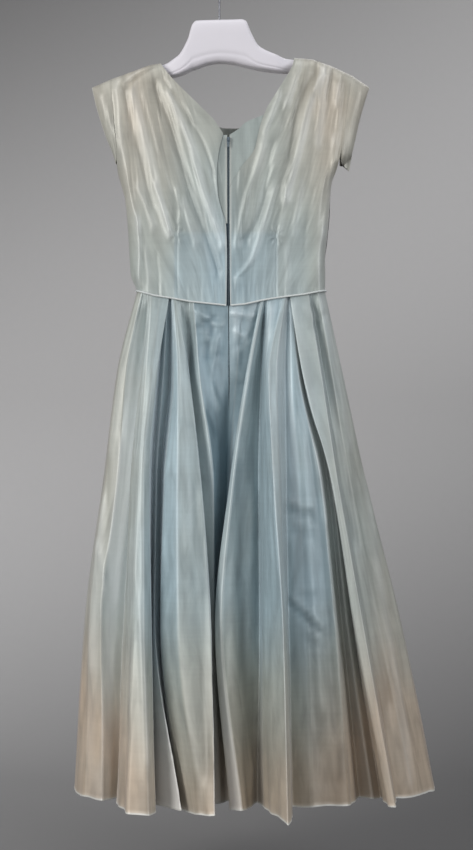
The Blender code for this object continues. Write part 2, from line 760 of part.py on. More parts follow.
def add_zip():
    """Chain, two tapes, slider and the pull tab that swings on it."""
    chain_top = ZIP_TOP_Z - SLIDER_HEIGHT - 0.3
    add_strip(
        "zip_chain",
        CENTRE_BACK_X - CHAIN_HALF_WIDTH,
        CENTRE_BACK_X + CHAIN_HALF_WIDTH,
        CHAIN_DEPTHS,
        chain_top,
        ZIP_END_Z,
        "zip_metal",
    )
    tape_top = ZIP_TOP_Z + 2
    tape_end = ZIP_END_Z - 12
    add_strip("zip_tape_left", CENTRE_BACK_X - TAPE_WIDTH, CENTRE_BACK_X - SEAM, TAPE_DEPTHS, tape_top, tape_end, "zip_blue")
    add_strip("zip_tape_right", CENTRE_BACK_X + SEAM, CENTRE_BACK_X + TAPE_WIDTH, TAPE_DEPTHS, tape_top, tape_end, "zip_blue")

    cloth_y = float(centre_back_depth(ZIP_TOP_Z))
    plate_back = cloth_y - SLIDER_LIFT
    face_y = plate_back - SLIDER_PLATE
    core_y = cloth_y + CHAIN_DEPTHS[1]
    half = SLIDER_WIDTH / 2
    core = SLIDER_CORE_WIDTH / 2
    slider_low = ZIP_TOP_Z - SLIDER_HEIGHT
    outline = (
        (-half, face_y),
        (half, face_y),
        (half, plate_back),
        (core, plate_back),
        (core, core_y),
        (-core, core_y),
        (-core, plate_back),
        (-half, plate_back),
    )
    placed = [(CENTRE_BACK_X + x, y) for x, y in outline]
    slider = extruded("zip_slider", placed, slider_low, ZIP_TOP_Z, "z", "zip_metal")
    axis_z = ZIP_TOP_Z - SLIDER_HEIGHT / 2
    axis_y = face_y - ARCH_ROOM / 2
    outer_y = face_y - ARCH_ROOM - ARCH_THICKNESS
    inner_y = face_y - ARCH_ROOM
    sunk_y = face_y + 0.8
    leg = ARCH_HALF_LENGTH - ARCH_THICKNESS
    chamfer = 0.7
    # The arch in the plane of Y and Z, a bridge with its two legs sunk into the plate
    arch = (
        (sunk_y, -ARCH_HALF_LENGTH),
        (sunk_y, -leg),
        (inner_y, -leg),
        (inner_y, leg),
        (sunk_y, leg),
        (sunk_y, ARCH_HALF_LENGTH),
        (outer_y + chamfer, ARCH_HALF_LENGTH),
        (outer_y, ARCH_HALF_LENGTH - chamfer),
        (outer_y, -ARCH_HALF_LENGTH + chamfer),
        (outer_y + chamfer, -ARCH_HALF_LENGTH),
    )
    bridge = extruded(
        "slider_bridge",
        [(y, axis_z + z) for y, z in arch],
        CENTRE_BACK_X - ARCH_HALF_WIDTH,
        CENTRE_BACK_X + ARCH_HALF_WIDTH,
        "x",
        "zip_metal",
    )
    bridge.hide_render = True
    bridge.display_type = "WIRE"
    join = slider.modifiers.new("bridge", "BOOLEAN")
    join.operation = "UNION"
    join.solver = "EXACT"
    join.object = bridge
    add_pull(axis_y, axis_z)


def add_pull(axis_y, axis_z):
    """The pull tab: a plate with an eye, whose bar lies in the bridge; its origin is on the hinge line."""
    shoulder = 0.55 * PULL_LENGTH
    outside = (
        (-PULL_HALF_WIDTH, BAR_HALF_HEIGHT),
        (-PULL_HALF_WIDTH, -EYE_END),
        (-1.5, -shoulder),
        (-1.9, -PULL_LENGTH + 1),
        (-1.1, -PULL_LENGTH),
        (1.1, -PULL_LENGTH),
        (1.9, -PULL_LENGTH + 1),
        (1.5, -shoulder),
        (PULL_HALF_WIDTH, -EYE_END),
        (PULL_HALF_WIDTH, BAR_HALF_HEIGHT),
    )
    eye = (
        (-EYE_HALF_WIDTH, -BAR_HALF_HEIGHT),
        (-EYE_HALF_WIDTH, -EYE_END + 0.2),
        (EYE_HALF_WIDTH, -EYE_END + 0.2),
        (EYE_HALF_WIDTH, -BAR_HALF_HEIGHT),
    )
    half = PULL_THICKNESS / 2
    plate = extruded("zip_pull", [(z, x) for x, z in reversed(outside)], -half, half, "y", "zip_metal")
    window = extruded("pull_window", [(z, x) for x, z in reversed(eye)], -2 * half, 2 * half, "y", "zip_metal")
    window.hide_render = True
    window.display_type = "WIRE"
    cut = plate.modifiers.new("eye", "BOOLEAN")
    cut.operation = "DIFFERENCE"
    cut.solver = "EXACT"
    cut.object = window
    place = (CENTRE_BACK_X * MM, axis_y * MM, axis_z * MM)
    plate.location = place
    window.location = place


# Hanger


def add_hanger():
    """The moulded body, an oval section through its stations, and the wire hook."""
    turn = np.linspace(0, 2 * math.pi, HANGER_RING, endpoint=False)
    rings = []
    for x, top, bottom, half_depth in HANGER_STATIONS:
        if not HANGER_NECK[0] < x < HANGER_NECK[1]:
            shoulder = float(np.interp(x, column(SHOULDER_LINE, 0), column(SHOULDER_LINE, 1)))
            top = min(top, shoulder - WALL - HANGER_REST)
        middle = (top + bottom) / 2
        half_height = (top - bottom) / 2
        ring = np.column_stack(
            [
                np.full(HANGER_RING, float(x)),
                np.cos(turn) * half_depth,
                middle + np.sin(turn) * half_height,
            ]
        )
        rings.append(ring)
    add_swept("hanger_body", np.array(rings), "hanger_white")

    join = math.radians(HOOK_JOIN_ANGLE)
    end = math.radians(HOOK_END_ANGLE)
    radius = HOOK_BEND_RADIUS
    joint = np.array([radius * math.cos(join), HOOK_CENTRE_Z + radius * math.sin(join)])
    heading = np.array([-math.sin(join), math.cos(join)])
    start = np.array([0.0, HOOK_SHANK_TOP_Z])
    share = np.linspace(0, 1, 7)[:, None]
    reach = 13.0
    bend = (
        (1 - share) ** 3 * start
        + 3 * (1 - share) ** 2 * share * (start + np.array([0.0, reach]))
        + 3 * (1 - share) * share**2 * (joint - heading * reach)
        + share**3 * joint
    )
    turns = np.linspace(join, end, 19)[1:]
    ring = np.column_stack([radius * np.cos(turns), HOOK_CENTRE_Z + radius * np.sin(turns)])
    foot = np.array([[0.0, HANGER_TOP_Z + HOOK_SEAT], [0.0, HANGER_TOP_Z + 16]])
    flat = np.concatenate([foot, bend, ring])
    path = np.column_stack([flat[:, 0], np.zeros(len(flat)), flat[:, 1]])
    add_swept("hanger_hook", tube_rings(path, HOOK_WIRE_RADIUS, 8), "hook_chrome")


def main():
    clear_scene()
    add_skirt()
    add_bodice()
    add_sleeve("cap_sleeve_left", SLEEVE_SEAM_LEFT, SLEEVE_EDGE_LEFT, -1)
    add_sleeve("cap_sleeve_right", SLEEVE_SEAM_RIGHT, SLEEVE_EDGE_RIGHT, 1)
    side_left = SIDE_LEFT[0][0]
    side_right = SIDE_RIGHT[0][0]
    add_piping("piping_back_left", side_left, BACK_EDGE_LEFT[0][0] - 0.5, False)
    add_piping("piping_back_right", BACK_EDGE_RIGHT[0][0] + 0.5, side_right, False)
    add_piping("piping_front", side_right, side_left, True)
    add_zip()
    add_hanger()


main()
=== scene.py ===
"""The looks of a pleated bridesmaid dress on its hanger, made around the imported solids.

Tables give millimetres in the frame of the part, and the meshes are metres. X runs across the dress,
Z up, and the back with its zip faces -Y.
"""

import math

import bpy
import numpy as np
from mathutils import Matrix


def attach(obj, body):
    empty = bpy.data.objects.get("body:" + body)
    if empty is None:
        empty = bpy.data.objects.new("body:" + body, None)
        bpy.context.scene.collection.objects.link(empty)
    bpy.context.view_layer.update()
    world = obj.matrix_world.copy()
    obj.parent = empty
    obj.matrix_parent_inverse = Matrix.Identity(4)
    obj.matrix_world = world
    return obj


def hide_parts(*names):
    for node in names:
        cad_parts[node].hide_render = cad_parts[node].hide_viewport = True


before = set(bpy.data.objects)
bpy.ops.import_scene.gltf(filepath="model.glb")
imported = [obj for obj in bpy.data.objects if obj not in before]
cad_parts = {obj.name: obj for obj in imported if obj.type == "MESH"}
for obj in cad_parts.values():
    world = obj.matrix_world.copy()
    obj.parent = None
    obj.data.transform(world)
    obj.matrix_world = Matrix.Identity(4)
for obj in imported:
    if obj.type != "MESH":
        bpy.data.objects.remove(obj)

bl_info = {
    "name": "Bridesmaid dress on a hanger",
    "version": (1, 0, 0),
    "blender": (4, 5, 0),
    "location": "3D View > Sidebar > Dress",
    "description": "Builds the cloth, zip and hanger of a pleated organza dress, and its studio",
    "category": "Object",
}

MM = 0.001

# The fold widths of the skirt are those seen square on from this far behind the dress
SEEN_FROM = 3200.0
SEEN_ALONG_X = 30.0
EYE_HEIGHT_Z = -0.802  # metres
VIEW_HEIGHT = 1.4875  # metres seen at the dress from top to bottom of the picture
FLOOR_Z = -1.62  # metres
POOL_REACH = 1.25  # metres, of the painted pool of light on the backdrop

CENTRE_BACK_X = 15.8
HEM_Z = -1453.0
SEAM = 0.2
SEAM_ROUND = 3 * SEAM

# Waist seam: across, height
WAIST_LINE = (
    (-144, -567.5), (-113, -577), (-83, -581.5), (-50, -587.5), (16, -594.5), (45, -592), (74, -585.5),
    (97, -581.5), (123, -578), (150, -574.5), (185, -567.5),
)

# Skirt: depths below the waist at which the widths and the depths of a fold are given
WIDTH_LEVELS = (0, 131, 315, 560, 870)
DEPTH_LEVELS = (0, 315, 870)
SKIRT_LENGTH = 870.0

# Folds of the skirt's back, left to right along the cloth: name, across at the five width levels, depth at
# the three depth levels. Then, of the panel that runs to the next fold, how much creamier (+) or bluer (-)
# it is, and how much painted light (+) or painted shade (-) it takes, at the three depth levels
WIDTHS = slice(1, 6)
DEPTHS = slice(6, 9)
TINT = 9
PAINTED_LIGHT = slice(10, 13)
BACK_FOLDS = (
    ("side left", -144, -178, -202, -234, -252, 0, 20, 50, 0.1, 0.0, 0.0, 0.0),
    ("side panel", -142, -175, -199, -226, -236, -9, -6, 0, 0.05, 0.0, 0.2, 0.2),
    ("side crease", -137, -163, -178, -207, -204, -15, -22, -34, -0.1, 0.1, 0.8, 0.4),
    ("first tuck", -123, -132, -148, -164, -175, -18, -13, -2, -0.1, 0.0, 0.8, 0.4),
    ("first pleat left", -125, -137, -155, -167, -179, -23, -48, -62, -0.06, 0.0, 0.1, 0.0),
    ("first pleat near left", -118, -129, -144, -151, -162, -25, -75, -144, -0.06, -0.1, 0.0, -0.1),
    ("first pleat near right", -104, -118, -134, -132, -123, -25, -80, -152, -0.06, -0.1, 0.0, 0.1),
    ("first pleat right", -87, -108, -122, -118, -111, -25, -70, -124, -0.2, 0.3, 0.9, 0.8),
    ("second tuck", -96, -105, -117, -121, -117, -19, -16, -62, -0.3, 0.4, 1.0, 1.0),
    ("strip edge", -91, -98, -110, -113, -66, -18, -27, -125, -0.25, 0.4, 0.7, 0.8),
    ("strip tuck", -85, -86, -101, -103, -79, -18, -12, -68, -0.2, 0.2, 0.5, 0.5),
    ("second pleat left", -84, -80, -97, -103, -67, -24, -58, -88, -0.08, 0.1, 0.0, 0.0),
    ("second pleat middle", -80, -73, -73, -73, -39, -25, -76, -130, 0.08, 0.0, -0.1, -0.2),
    ("second pleat right", -76, -52, -31, -13, -6, -25, -72, -156, 0.05, 0.0, 0.4, 1.0),
    ("third tuck", -53, -54, -37, -19, -17, -19, -38, -70, 0.05, 0.0, 0.1, 0.9),
    ("third pleat right", -46, -34, -10, -8, 3, -25, -50, -56, -0.1, -0.4, -0.6, 0.5),
    ("centre seam", 15.8, 16.5, 13, 4, 10, -24, -6, -36, -0.15, 0.2, -0.5, 0.5),
    ("centre right", 42, 30, 18, 10, 20, -24, -6, -36, -0.15, 0.2, -0.4, 0.5),
    ("fourth tuck", 71, 53, 29, 9, 26, -18.5, -14, -46, -0.05, 0.0, 0.1, 0.4),
    ("fourth pleat left", 71, 45, 17, -9, 17, -24, -60, -104, 0.02, 0.1, 0.1, 0.7),
    ("fourth pleat roll", 77, 52, 24, 4, 41, -25, -68, -118, 0.0, -0.1, -0.2, 0.0),
    ("fifth tuck", 80, 73, 69, 71, 66, -19.5, -34, -50, -0.15, 0.0, 0.1, 0.3),
    ("fifth pleat left", 84, 78, 75, 75, 78, -24.5, -55, -80, -0.08, 0.1, 0.05, 0.05),
    ("crest", 113, 87, 95, 112, 120, -25, -104, -192, 0.05, 0.0, 0.1, 0.0),
    ("crest return", 117, 101, 106, 117, 127, -24, -94, -172, 0.0, 0.6, 0.3, 0.0),
    ("sixth tuck", 120, 115, 116, 120, 126, -19, -56, -76, -0.16, 0.3, 0.2, 0.0),
    ("sixth pleat middle", 124, 127, 141, 151, 162, -18, -60, -93, -0.08, 0.2, -0.3, -0.35),
    ("sixth pleat right", 128, 139, 177, 203, 229, -17, -56, -66, 0.1, 0.8, 0.6, 0.1),
    ("seventh tuck", 132, 145, 187, 213, 244, -16.5, -20, -6, 0.1, 0.6, 0.6, 0.1),
    ("streak", 136, 150, 195, 223, 269, -17, -28, -22, 0.1, 0.5, 0.6, 0.3),
    ("streak tuck", 140, 155, 202, 234, 283, -17.5, -17, -2, 0.05, 0.4, 0.4, 0.1),
    ("seventh pleat left", 122, 144, 194, 235, 296, -24, -60, -80, 0.06, 0.0, 0.1, 0.1),
    ("seventh pleat right", 156, 178, 207, 252, 309, -25, -62, -88, 0.0, 0.0, 0.0, -0.1),
    ("eighth tuck", 160, 181, 212, 256, 310, -19, -30, -10, 0.0, 0.0, 0.0, 0.0),
    ("side panel right", 173, 196, 229, 278, 341, -20, -24, 4, 0.0, 0.3, 0.1, 0.0),
    ("side right", 185, 214, 254, 314, 375, 0, 20, 50, 0.0, 0.0, 0.0, 0.0),
)
BACK_NAMES = [fold[0] for fold in BACK_FOLDS]
TUCK_SINK = 8.0  # how much deeper the shown cloth is pressed into its tucks, below the waist
# How much lower than the hem line the cloth hangs at a fold
HEM_DROPS = {
    "strip edge": -2,
    "second pleat left": 6,
    "second pleat middle": 3,
    "crest": 8,
    "crest return": 5,
}

CREASE_PAINTED_LIGHT = 0.075  # painted light on each millimetre of ridge, and painted shade on each millimetre of trough
UNHIGHLIGHTED_FOLDS = ("tuck", "seam", "middle", "fourth pleat left", "second pleat right")  # folds with no painted highlight on their edge
RIM_HALF_WIDTH = 1.3  # of the thin painted highlight where a pleat is folded
ZIP_EDGE_OUT = 4.0  # from the centre back to the turned edge beside the zip
ZIP_EDGE_HALF_WIDTH = 1.5
ZIP_EDGE_HIGHLIGHT = 3.4  # how strong the painted highlight on that edge is, against the one on the folded edge of a pleat
BODICE_PAINTED_LIGHT = 1.1  # share of the creases' painted light and shade, on the bodice
FRONT_RIM = 0.7  # the same painted highlight on the folds of the front
MOST_ROUND = 0.42  # of a panel, the share that the rounding of a fold may take
COLUMN_STEP = 6  # about, between the columns of a straight run
SIDE_GAP = 0.05  # half of the gap between two pieces of the skirt
HEM_ROLL = 0.3  # how far the turned edge of the hem stands out
HEM_THICKER = 0.9  # of the cloth's thickness, added at that edge
RECESS_PAINTED_SHADE = 0.15  # painted shade of cloth that lies SHELTER_DEPTH behind what stands out beside it
SHELTER_REACH = 14.0
SHELTER_DEPTH = 26.0

# Wave lengths of the cloth's unevenness
RIPPLE_WAVES = (23, 31, 44, 62, 85)  # along the skirt
GATHER_WAVES = (7.5, 10.5, 14)  # just below the waist
WRINKLE_WAVES = (17, 26, 41)  # down the skirt
HEM_WAVES = (38, 61, 95)  # of the hem line
DRAPE_WAVES = (9, 12, 16, 22, 31)  # across the draped threads of the bodice

# Folds of the skirt's front, right to left: share of the way round, relief at the hem (+ is out)
FRONT_FOLDS = (
    (0.055, 16), (0.110, -20), (0.155, 24), (0.205, -26), (0.245, 18), (0.300, -22), (0.350, 30),
    (0.405, -24), (0.450, 20), (0.500, -28), (0.545, 22), (0.590, -24), (0.640, 30), (0.700, -26),
    (0.745, 20), (0.800, -22), (0.850, 26), (0.900, -18), (0.950, 14),
)
FRONT_DEPTHS = (22.5, 62, 150)
FRONT_RELIEFS = (0.1, 0.5, 1.0)
FRONT_REACH = 170  # relief that would double how far a fold of the front stands out

# Bodice outlines: across, height
SIDE_LEFT = (
    (-144, -567.5), (-155, -539.5), (-157, -513), (-160, -461), (-165, -408), (-172, -382), (-178, -356),
    (-179, -321), (-183, -277), (-186, -233), (-188, -197),
)
SIDE_RIGHT = (
    (185, -567.5), (185.5, -539.5), (185, -513), (188, -487), (193, -434), (194, -408), (196, -382),
    (204, -358), (211, -329), (217, -286), (225, -233), (232, -191),
)
SHOULDER_LEFT = ((-188, -197), (-144, -181), (-123, -173), (-104, -169.5))
SHOULDER_RIGHT = ((133, -160.5), (146, -161), (164, -163), (195, -174), (232, -191))
BACK_NECK_LEFT = ((-100, -176), (-83, -198), (-34, -247), (-11, -270), (-2, -282), (7, -296))
BACK_EDGE_LEFT = (
    (12.6, -594.5), (13.6, -513), (12, -457), (5, -431), (-2, -403), (-4, -363), (-2, -336), (7, -296),
)
BACK_EDGE_RIGHT = ((19.0, -594.5), (18, -513), (17.8, -391))
BACK_NECK_RIGHT = ((18.2, -391), (39, -354), (62, -322), (71, -284), (81, -256), (104, -217), (128, -176))
FRONT_NECK = (
    (-102, -176), (-86, -219), (-56, -256), (-4, -275), (20, -279), (45, -275), (78, -261), (111, -219),
    (131, -172),
)
SLEEVE_EDGE_LEFT = ((-181, -346), (-186, -330), (-197, -303), (-206, -277), (-214, -251), (-223, -212))
SLEEVE_EDGE_RIGHT = ((227, -358), (232, -329), (238, -303), (244, -277), (251, -251), (263, -212))
SLEEVE_SEAM_LEFT = ((-179, -340), (-179, -321), (-183, -277), (-186, -233), (-188, -197))
SLEEVE_SEAM_RIGHT = ((212, -345), (212, -329), (217, -286), (225, -233), (232, -191))
ARMHOLE_SEAM = 0.1

# Line that the bodice rounds to at its sides: height, left, right
BODICE_REACH = (
    (-567.5, -144, 185), (-539.5, -155, 185.5), (-513, -157, 185), (-461, -160, 190), (-408, -165, 194),
    (-382, -172, 197), (-356, -178, 209), (-330, -186, 232), (-303, -197, 239), (-277, -206, 244),
    (-251, -214, 251), (-205, -225, 265),
)
# Line over which back and front meet: across, height
OVER_HANGER = ((-80, -150), (0, -90), (110, -135))
SHOULDER_LINE = ((-223, -212),) + SHOULDER_LEFT + OVER_HANGER + SHOULDER_RIGHT + ((263, -212),)
SIDE_ROUND = 22.0
SHOULDER_ROUND = 30.0
SLEEVE_OPEN = 5.0
SLEEVE_START_Z = -372.0
SLEEVE_START_RUN = 20.0
UNDERARM_Z = -365.0

# Half depth of the bodice: height, back, front
BODICE_DEPTHS = (
    (-595, 26, 26), (-500, 27, 29), (-400, 28, 34), (-300, 27, 31), (-160, 25, 25),
)

# Soft folds of the bodice's back, outside the cloth: points of the line (across, height) from its
# top down, relief (+ is out), half width
BACK_CREASES = (
    (((-118, -179), (-128, -186), (-141, -196), (-156, -208)), -4.0, 7),
    (((-140, -184), (-150, -192), (-163, -206)), 2.2, 6),
    (((170, -170), (168, -190), (162, -218)), -3.0, 3.5),
    (((184, -174), (181, -196), (174, -226)), 2.8, 3.5),
    (((198, -181), (195, -200), (189, -228)), -2.8, 3.5),
    (((213, -188), (210, -206), (204, -236)), 2.6, 3.5),
    (((150, -166), (146, -184), (138, -206)), -2.2, 4),
    (((-112, -217), (-87, -280), (-69, -340), (-50, -401), (-20, -485), (-4, -534)), -5.5, 8),
    (((-85, -225), (-66, -272), (-45, -324), (-31, -385), (-17, -425), (6, -485)), 4.2, 7),
    (((-98, -200), (-58, -262), (-30, -310), (-12, -360)), -3.0, 6),
    (((-151, -222), (-136, -275), (-123, -322), (-102, -396), (-88, -462)), 3.2, 8),
    (((-165, -226), (-150, -290), (-134, -350), (-118, -420)), -2.6, 7),
    (((-128, -230), (-112, -290), (-98, -350), (-86, -420)), 2.4, 6),
    (((-178, -215), (-172, -263), (-164, -329), (-155, -406), (-141, -452)), 2.6, 6),
    (((-140, -390), (-126, -420), (-114, -452)), 2.2, 5),
    (((-109, -390), (-97, -425), (-85, -466)), 2.6, 5),
    (((-73, -400), (-67, -432), (-72, -466)), 2.0, 4),
    (((-60, -418), (-52, -448), (-41, -482)), 2.2, 5),
    (((-141, -452), (-138, -500), (-141, -545), (-142, -565)), 2.2, 5),
    (((-126, -505), (-122, -540), (-120, -566)), 1.6, 4),
    (((-109, -515), (-106, -545), (-106, -570)), -1.6, 4),
    (((179, -193), (162, -228), (151, -266), (143, -303), (130, -352), (118, -406)), 5.2, 8),
    (((195, -178), (185, -214), (178, -263), (172, -310)), 3.0, 6),
    (((165, -190), (146, -228), (133, -270), (122, -330)), -3.8, 7),
    (((143, -180), (124, -226), (112, -262), (98, -320), (84, -380)), 3.0, 7),
    (((112, -262), (109, -284), (90, -329), (81, -396), (64, -450), (46, -480)), -4.2, 8),
    (((104, -232), (92, -262), (80, -292)), 2.6, 5),
    (((76, -320), (64, -360), (50, -398), (30, -485)), 2.8, 6),
    (((96, -392), (85, -430), (68, -486), (57, -515), (32, -545)), 3.0, 6),
    (((116, -392), (112, -430), (104, -466)), 2.6, 5),
    (((142, -392), (136, -430), (131, -462)), 2.2, 5),
    (((208, -217), (206, -262), (204, -307)), 2.6, 7),
    (((199, -308), (196, -360), (192, -420), (182, -470)), 2.8, 6),
    (((181, -470), (176, -520), (177, -565)), 2.6, 7),
    (((160, -400), (150, -450), (146, -500)), -1.8, 6),
    (((-74, -472), (-74, -520), (-74, -571)), -1.6, 2.5),
    (((98, -475), (98, -520), (98, -574)), -1.6, 2.5),
    (((118, -500), (120, -540), (120, -572)), 1.6, 5),
    (((-188, -250), (-184, -300), (-178, -345)), -1.4, 5),
)
# Soft folds of the bodice's front, with two waist darts and gathers at the neck
FRONT_CREASES = (
    (((-118, -215), (-90, -290), (-50, -400)), 4.0, 9),
    (((-90, -240), (-60, -300), (-20, -380)), -4.0, 8),
    (((-150, -222), (-132, -300), (-108, -410)), 3.2, 8),
    (((-168, -230), (-158, -320), (-146, -420)), -2.4, 7),
    (((-60, -262), (-40, -320), (-10, -420)), 3.0, 7),
    (((160, -205), (130, -290), (90, -400)), 4.0, 9),
    (((125, -240), (100, -300), (60, -380)), -4.0, 8),
    (((190, -205), (172, -290), (150, -410)), 3.2, 8),
    (((84, -262), (66, -320), (44, -420)), 3.0, 7),
    (((208, -230), (198, -320), (190, -420)), -2.4, 7),
    (((20, -283), (20, -320), (20, -390)), -4.0, 8),
    (((6, -283), (4, -310), (0, -350)), 2.4, 5),
    (((36, -283), (38, -310), (44, -350)), 2.4, 5),
    (((-64, -462), (-64, -515), (-64, -570)), -1.6, 2.5),
    (((104, -462), (104, -515), (104, -570)), -1.6, 2.5),
    (((-110, -480), (-104, -520), (-104, -566)), 2.0, 6),
    (((146, -480), (142, -520), (142, -566)), 2.0, 6),
)
# Broad bands of painted shade on the bodice's back: line, darkness, half width
BODICE_SHADES = (
    (((-124, -226), (-116, -260), (-100, -321), (-87, -408), (-60, -480)), 0.32, 12),
    (((38, -290), (34, -400), (40, -560)), 0.3, 16),
    (((152, -220), (124, -321), (106, -408), (92, -470)), 0.3, 13),
    (((216, -196), (208, -260), (200, -340)), 0.22, 12),
    (((8, -300), (4, -360), (6, -420)), 0.3, 7),
    (((-170, -230), (-160, -330), (-150, -420)), 0.2, 8),
    (((72, -250), (60, -320), (44, -400)), 0.2, 9),
)
# Small puckers where a dart ends: across, height, relief
DART_TIPS = ((-74, -470, 1.6), (98, -474, 1.6))
FOLD_FADE = 26.0
CREASE_RELIEF = 0.85  # of the creases listed for the bodice, the share that stands in relief
DRAPE_RELIEF = 0.62  # of the fine folds along the draped threads
RUCHE_RELIEF = 1.3  # of the gathers below the front neckline
WAIST_RELIEF = 0.7  # of the gathers just above the waist
WIDER = 0.95  # of the half width listed for a soft fold

# Soft creases on the skirt's back: points of the line (across, depth below the waist) from its top
# down, relief, half width
SKIRT_CREASES = (
    (((-134, 6), (-150, 60), (-160, 130), (-172, 240)), -3.0, 7),
    (((-128, 100), (-145, 220), (-160, 360), (-178, 520)), 2.2, 7),
    (((-108, 40), (-120, 140), (-136, 300), (-148, 470)), 1.8, 6),
    (((-74, 30), (-66, 120), (-62, 260), (-58, 420)), 1.8, 8),
    (((-60, 16), (-50, 60), (-52, 120)), -2.2, 6),
    (((-40, 14), (-30, 46), (-8, 76)), 2.6, 6),
    (((-20, 8), (-14, 40), (-22, 84)), -2.4, 6),
    (((4, 30), (-6, 64), (-14, 110)), 2.4, 5),
    (((28, 8), (32, 40), (27, 80)), 2.4, 5),
    (((46, 12), (38, 52), (40, 96)), -2.4, 6),
    (((60, 8), (56, 36), (47, 60)), 2.2, 5),
    (((92, 20), (84, 90), (84, 190)), 2.2, 5),
    (((104, 16), (98, 70), (96, 140)), -2.0, 5),
    (((134, 20), (150, 110), (168, 230), (186, 380)), 2.2, 7),
    (((168, 20), (190, 110), (212, 240), (240, 420)), -2.6, 8),
    (((176, 14), (200, 110), (228, 260)), 2.4, 7),
    (((-206, 360), (-216, 480), (-222, 640)), 2.2, 8),
    (((-196, 300), (-196, 460), (-206, 640), (-214, 800)), -2.0, 8),
    (((-152, 420), (-158, 560), (-160, 700)), 1.8, 6),
    (((-140, 520), (-134, 640), (-128, 780)), 2.0, 7),
    (((-90, 560), (-72, 680), (-46, 820)), -2.0, 7),
    (((-44, 330), (-42, 480), (-30, 640), (-24, 800)), -2.6, 9),
    (((-30, 420), (-24, 560), (-14, 720)), -2.0, 6),
    (((40, 300), (34, 440), (42, 600), (54, 780)), -2.4, 9),
    (((56, 340), (54, 480), (60, 640)), 2.0, 8),
    (((142, 210), (150, 330), (160, 480), (176, 700)), 2.2, 8),
    (((160, 260), (178, 400), (196, 600), (208, 820)), -2.2, 8),
    (((258, 330), (282, 500), (316, 700), (334, 840)), 2.6, 9),
    (((244, 360), (268, 520), (298, 700)), -2.2, 8),
)
# Shallow creases that run across a panel: start and end (across, depth below the waist), relief
CROSS_CREASES = (
    ((118, 366), (168, 384), -3.0),
    ((120, 350), (164, 362), 2.4),
    ((122, 402), (160, 412), -1.8),
    ((124, 512), (184, 568), 2.6),
    ((120, 524), (174, 574), -2.4),
    ((132, 498), (168, 500), 1.6),
    ((150, 590), (186, 604), -1.4),
    ((-150, 268), (-112, 286), 1.4),
    ((-214, 430), (-196, 520), 1.8),
    ((-70, 210), (-40, 226), -1.4),
    ((-47, 12), (2, 38), 3.6),
    ((-42, 48), (-8, 24), -3.2),
    ((-36, 66), (0, 58), 2.6),
    ((-30, 100), (4, 84), -2.2),
    ((22, 13), (66, 26), 3.2),
    ((28, 44), (58, 74), 3.6),
    ((24, 74), (50, 60), -2.8),
    ((20, 112), (44, 132), 3.0),
    ((22, 150), (36, 138), -2.2),
    ((-16, 140), (0, 186), 2.8),
    ((-20, 190), (-6, 230), -2.0),
    ((150, 20), (176, 52), 2.4),
    ((164, 60), (184, 36), -2.0),
)
CROSS_HALF_WIDTH = 5.0

# Hanger: across, top, bottom, half depth
HANGER_STATIONS = (
    (-183, -199, -207, 6), (-176, -196, -213, 10), (-150, -184, -211, 13), (-123, -173, -206, 14.5),
    (-102, -172.5, -200, 13.5), (-73, -158, -192, 18), (-55, -128, -185, 20), (-47, -102, -181, 20),
    (-40, -96, -179, 20), (-20, -95, -172, 20), (0, -94.5, -169, 20), (25, -94, -171, 20),
    (38, -93.5, -174, 20), (46, -96, -176, 20), (55, -116, -178, 20), (69, -140.5, -181, 20),
    (97, -154.5, -185, 19), (120, -162, -188, 14), (141, -163.3, -188, 10.5), (160, -162, -186, 11),
    (176, -168, -184, 9), (182, -171, -181, 6),
)
CLOTH_WALL = 1.2
HANGER_REST = 0.7
HANGER_NECK = (-103.0, 130.0)  # between these the hanger stands free of the cloth
HANGER_TOP_Z = -94.5
HOOK_SEAT = 0.3
HOOK_WIRE_RADIUS = 1.9
HOOK_BEND_RADIUS = 24.0
HOOK_CENTRE_Z = -22.1
HOOK_SHANK_TOP_Z = -62.0
HOOK_JOIN_ANGLE = -38.0
HOOK_END_ANGLE = 208.0
HOOK_REACH = 13.0

ZIP_TOP_Z = -303.0
ZIP_END_Z = -706.0
SLIDER_HEIGHT = 8.0
TOOTH_PITCH = 2.2
TOOTH_DEPTH = 2.2  # of the teeth's middle, behind the cloth's face


# Shape helpers


def eased(at, knots, values):
    """Cubic curve through the knots, v = v0 (1 - r) + v1 r + tangent terms with r = s s (3 - 2 s), which
    never overshoots them because a knot between a rise and a fall is level."""
    at = np.asarray(at, float)
    knots = np.asarray(knots, float)
    values = np.asarray(values, float)
    spans = np.diff(knots)
    slopes = np.diff(values) / spans
    tangents = np.empty_like(values)
    tangents[0], tangents[-1] = slopes[0], slopes[-1]
    before, after = slopes[:-1], slopes[1:]
    same_way = before * after > 0
    total = np.where(same_way, before + after, 1)
    tangents[1:-1] = np.where(same_way, 2 * before * after / total, 0)
    place = np.clip(at, knots[0], knots[-1])
    index = np.clip(np.searchsorted(knots, place, side="right") - 1, 0, len(spans) - 1)
    span = spans[index]
    share = (place - knots[index]) / span
    rise = share * share * (3 - 2 * share)
    return (
        values[index] * (1 - rise)
        + values[index + 1] * rise
        + span * share * (1 - share) ** 2 * tangents[index]
        - span * share * share * (1 - share) * tangents[index + 1]
    )


def column(table, index):
    """One column of a table."""
    return np.array([row[index] for row in table], float)


def smooth(at, table, index=1):
    """A column of a table against its first one, on the eased curve through its rows."""
    return eased(at, column(table, 0), column(table, index))


def straight(at, table, index=1):
    """A column of a table against its first one, on straight lines between its rows."""
    return np.interp(at, column(table, 0), column(table, index))


def blend_in(value, start, end):
    """0 up to start, 1 from end on, and s s (3 - 2 s) between."""
    share = np.clip((value - start) / (end - start), 0, 1)
    return share * share * (3 - 2 * share)


def bell(away):
    """e^-(away^2): 1 on a line, and nearly 0 from twice its half width on."""
    return np.exp(-(away**2))


def unit(vectors):
    """The vectors, each made 1 long."""
    return vectors / np.maximum(np.linalg.norm(vectors, axis=-1, keepdims=True), 1e-9)


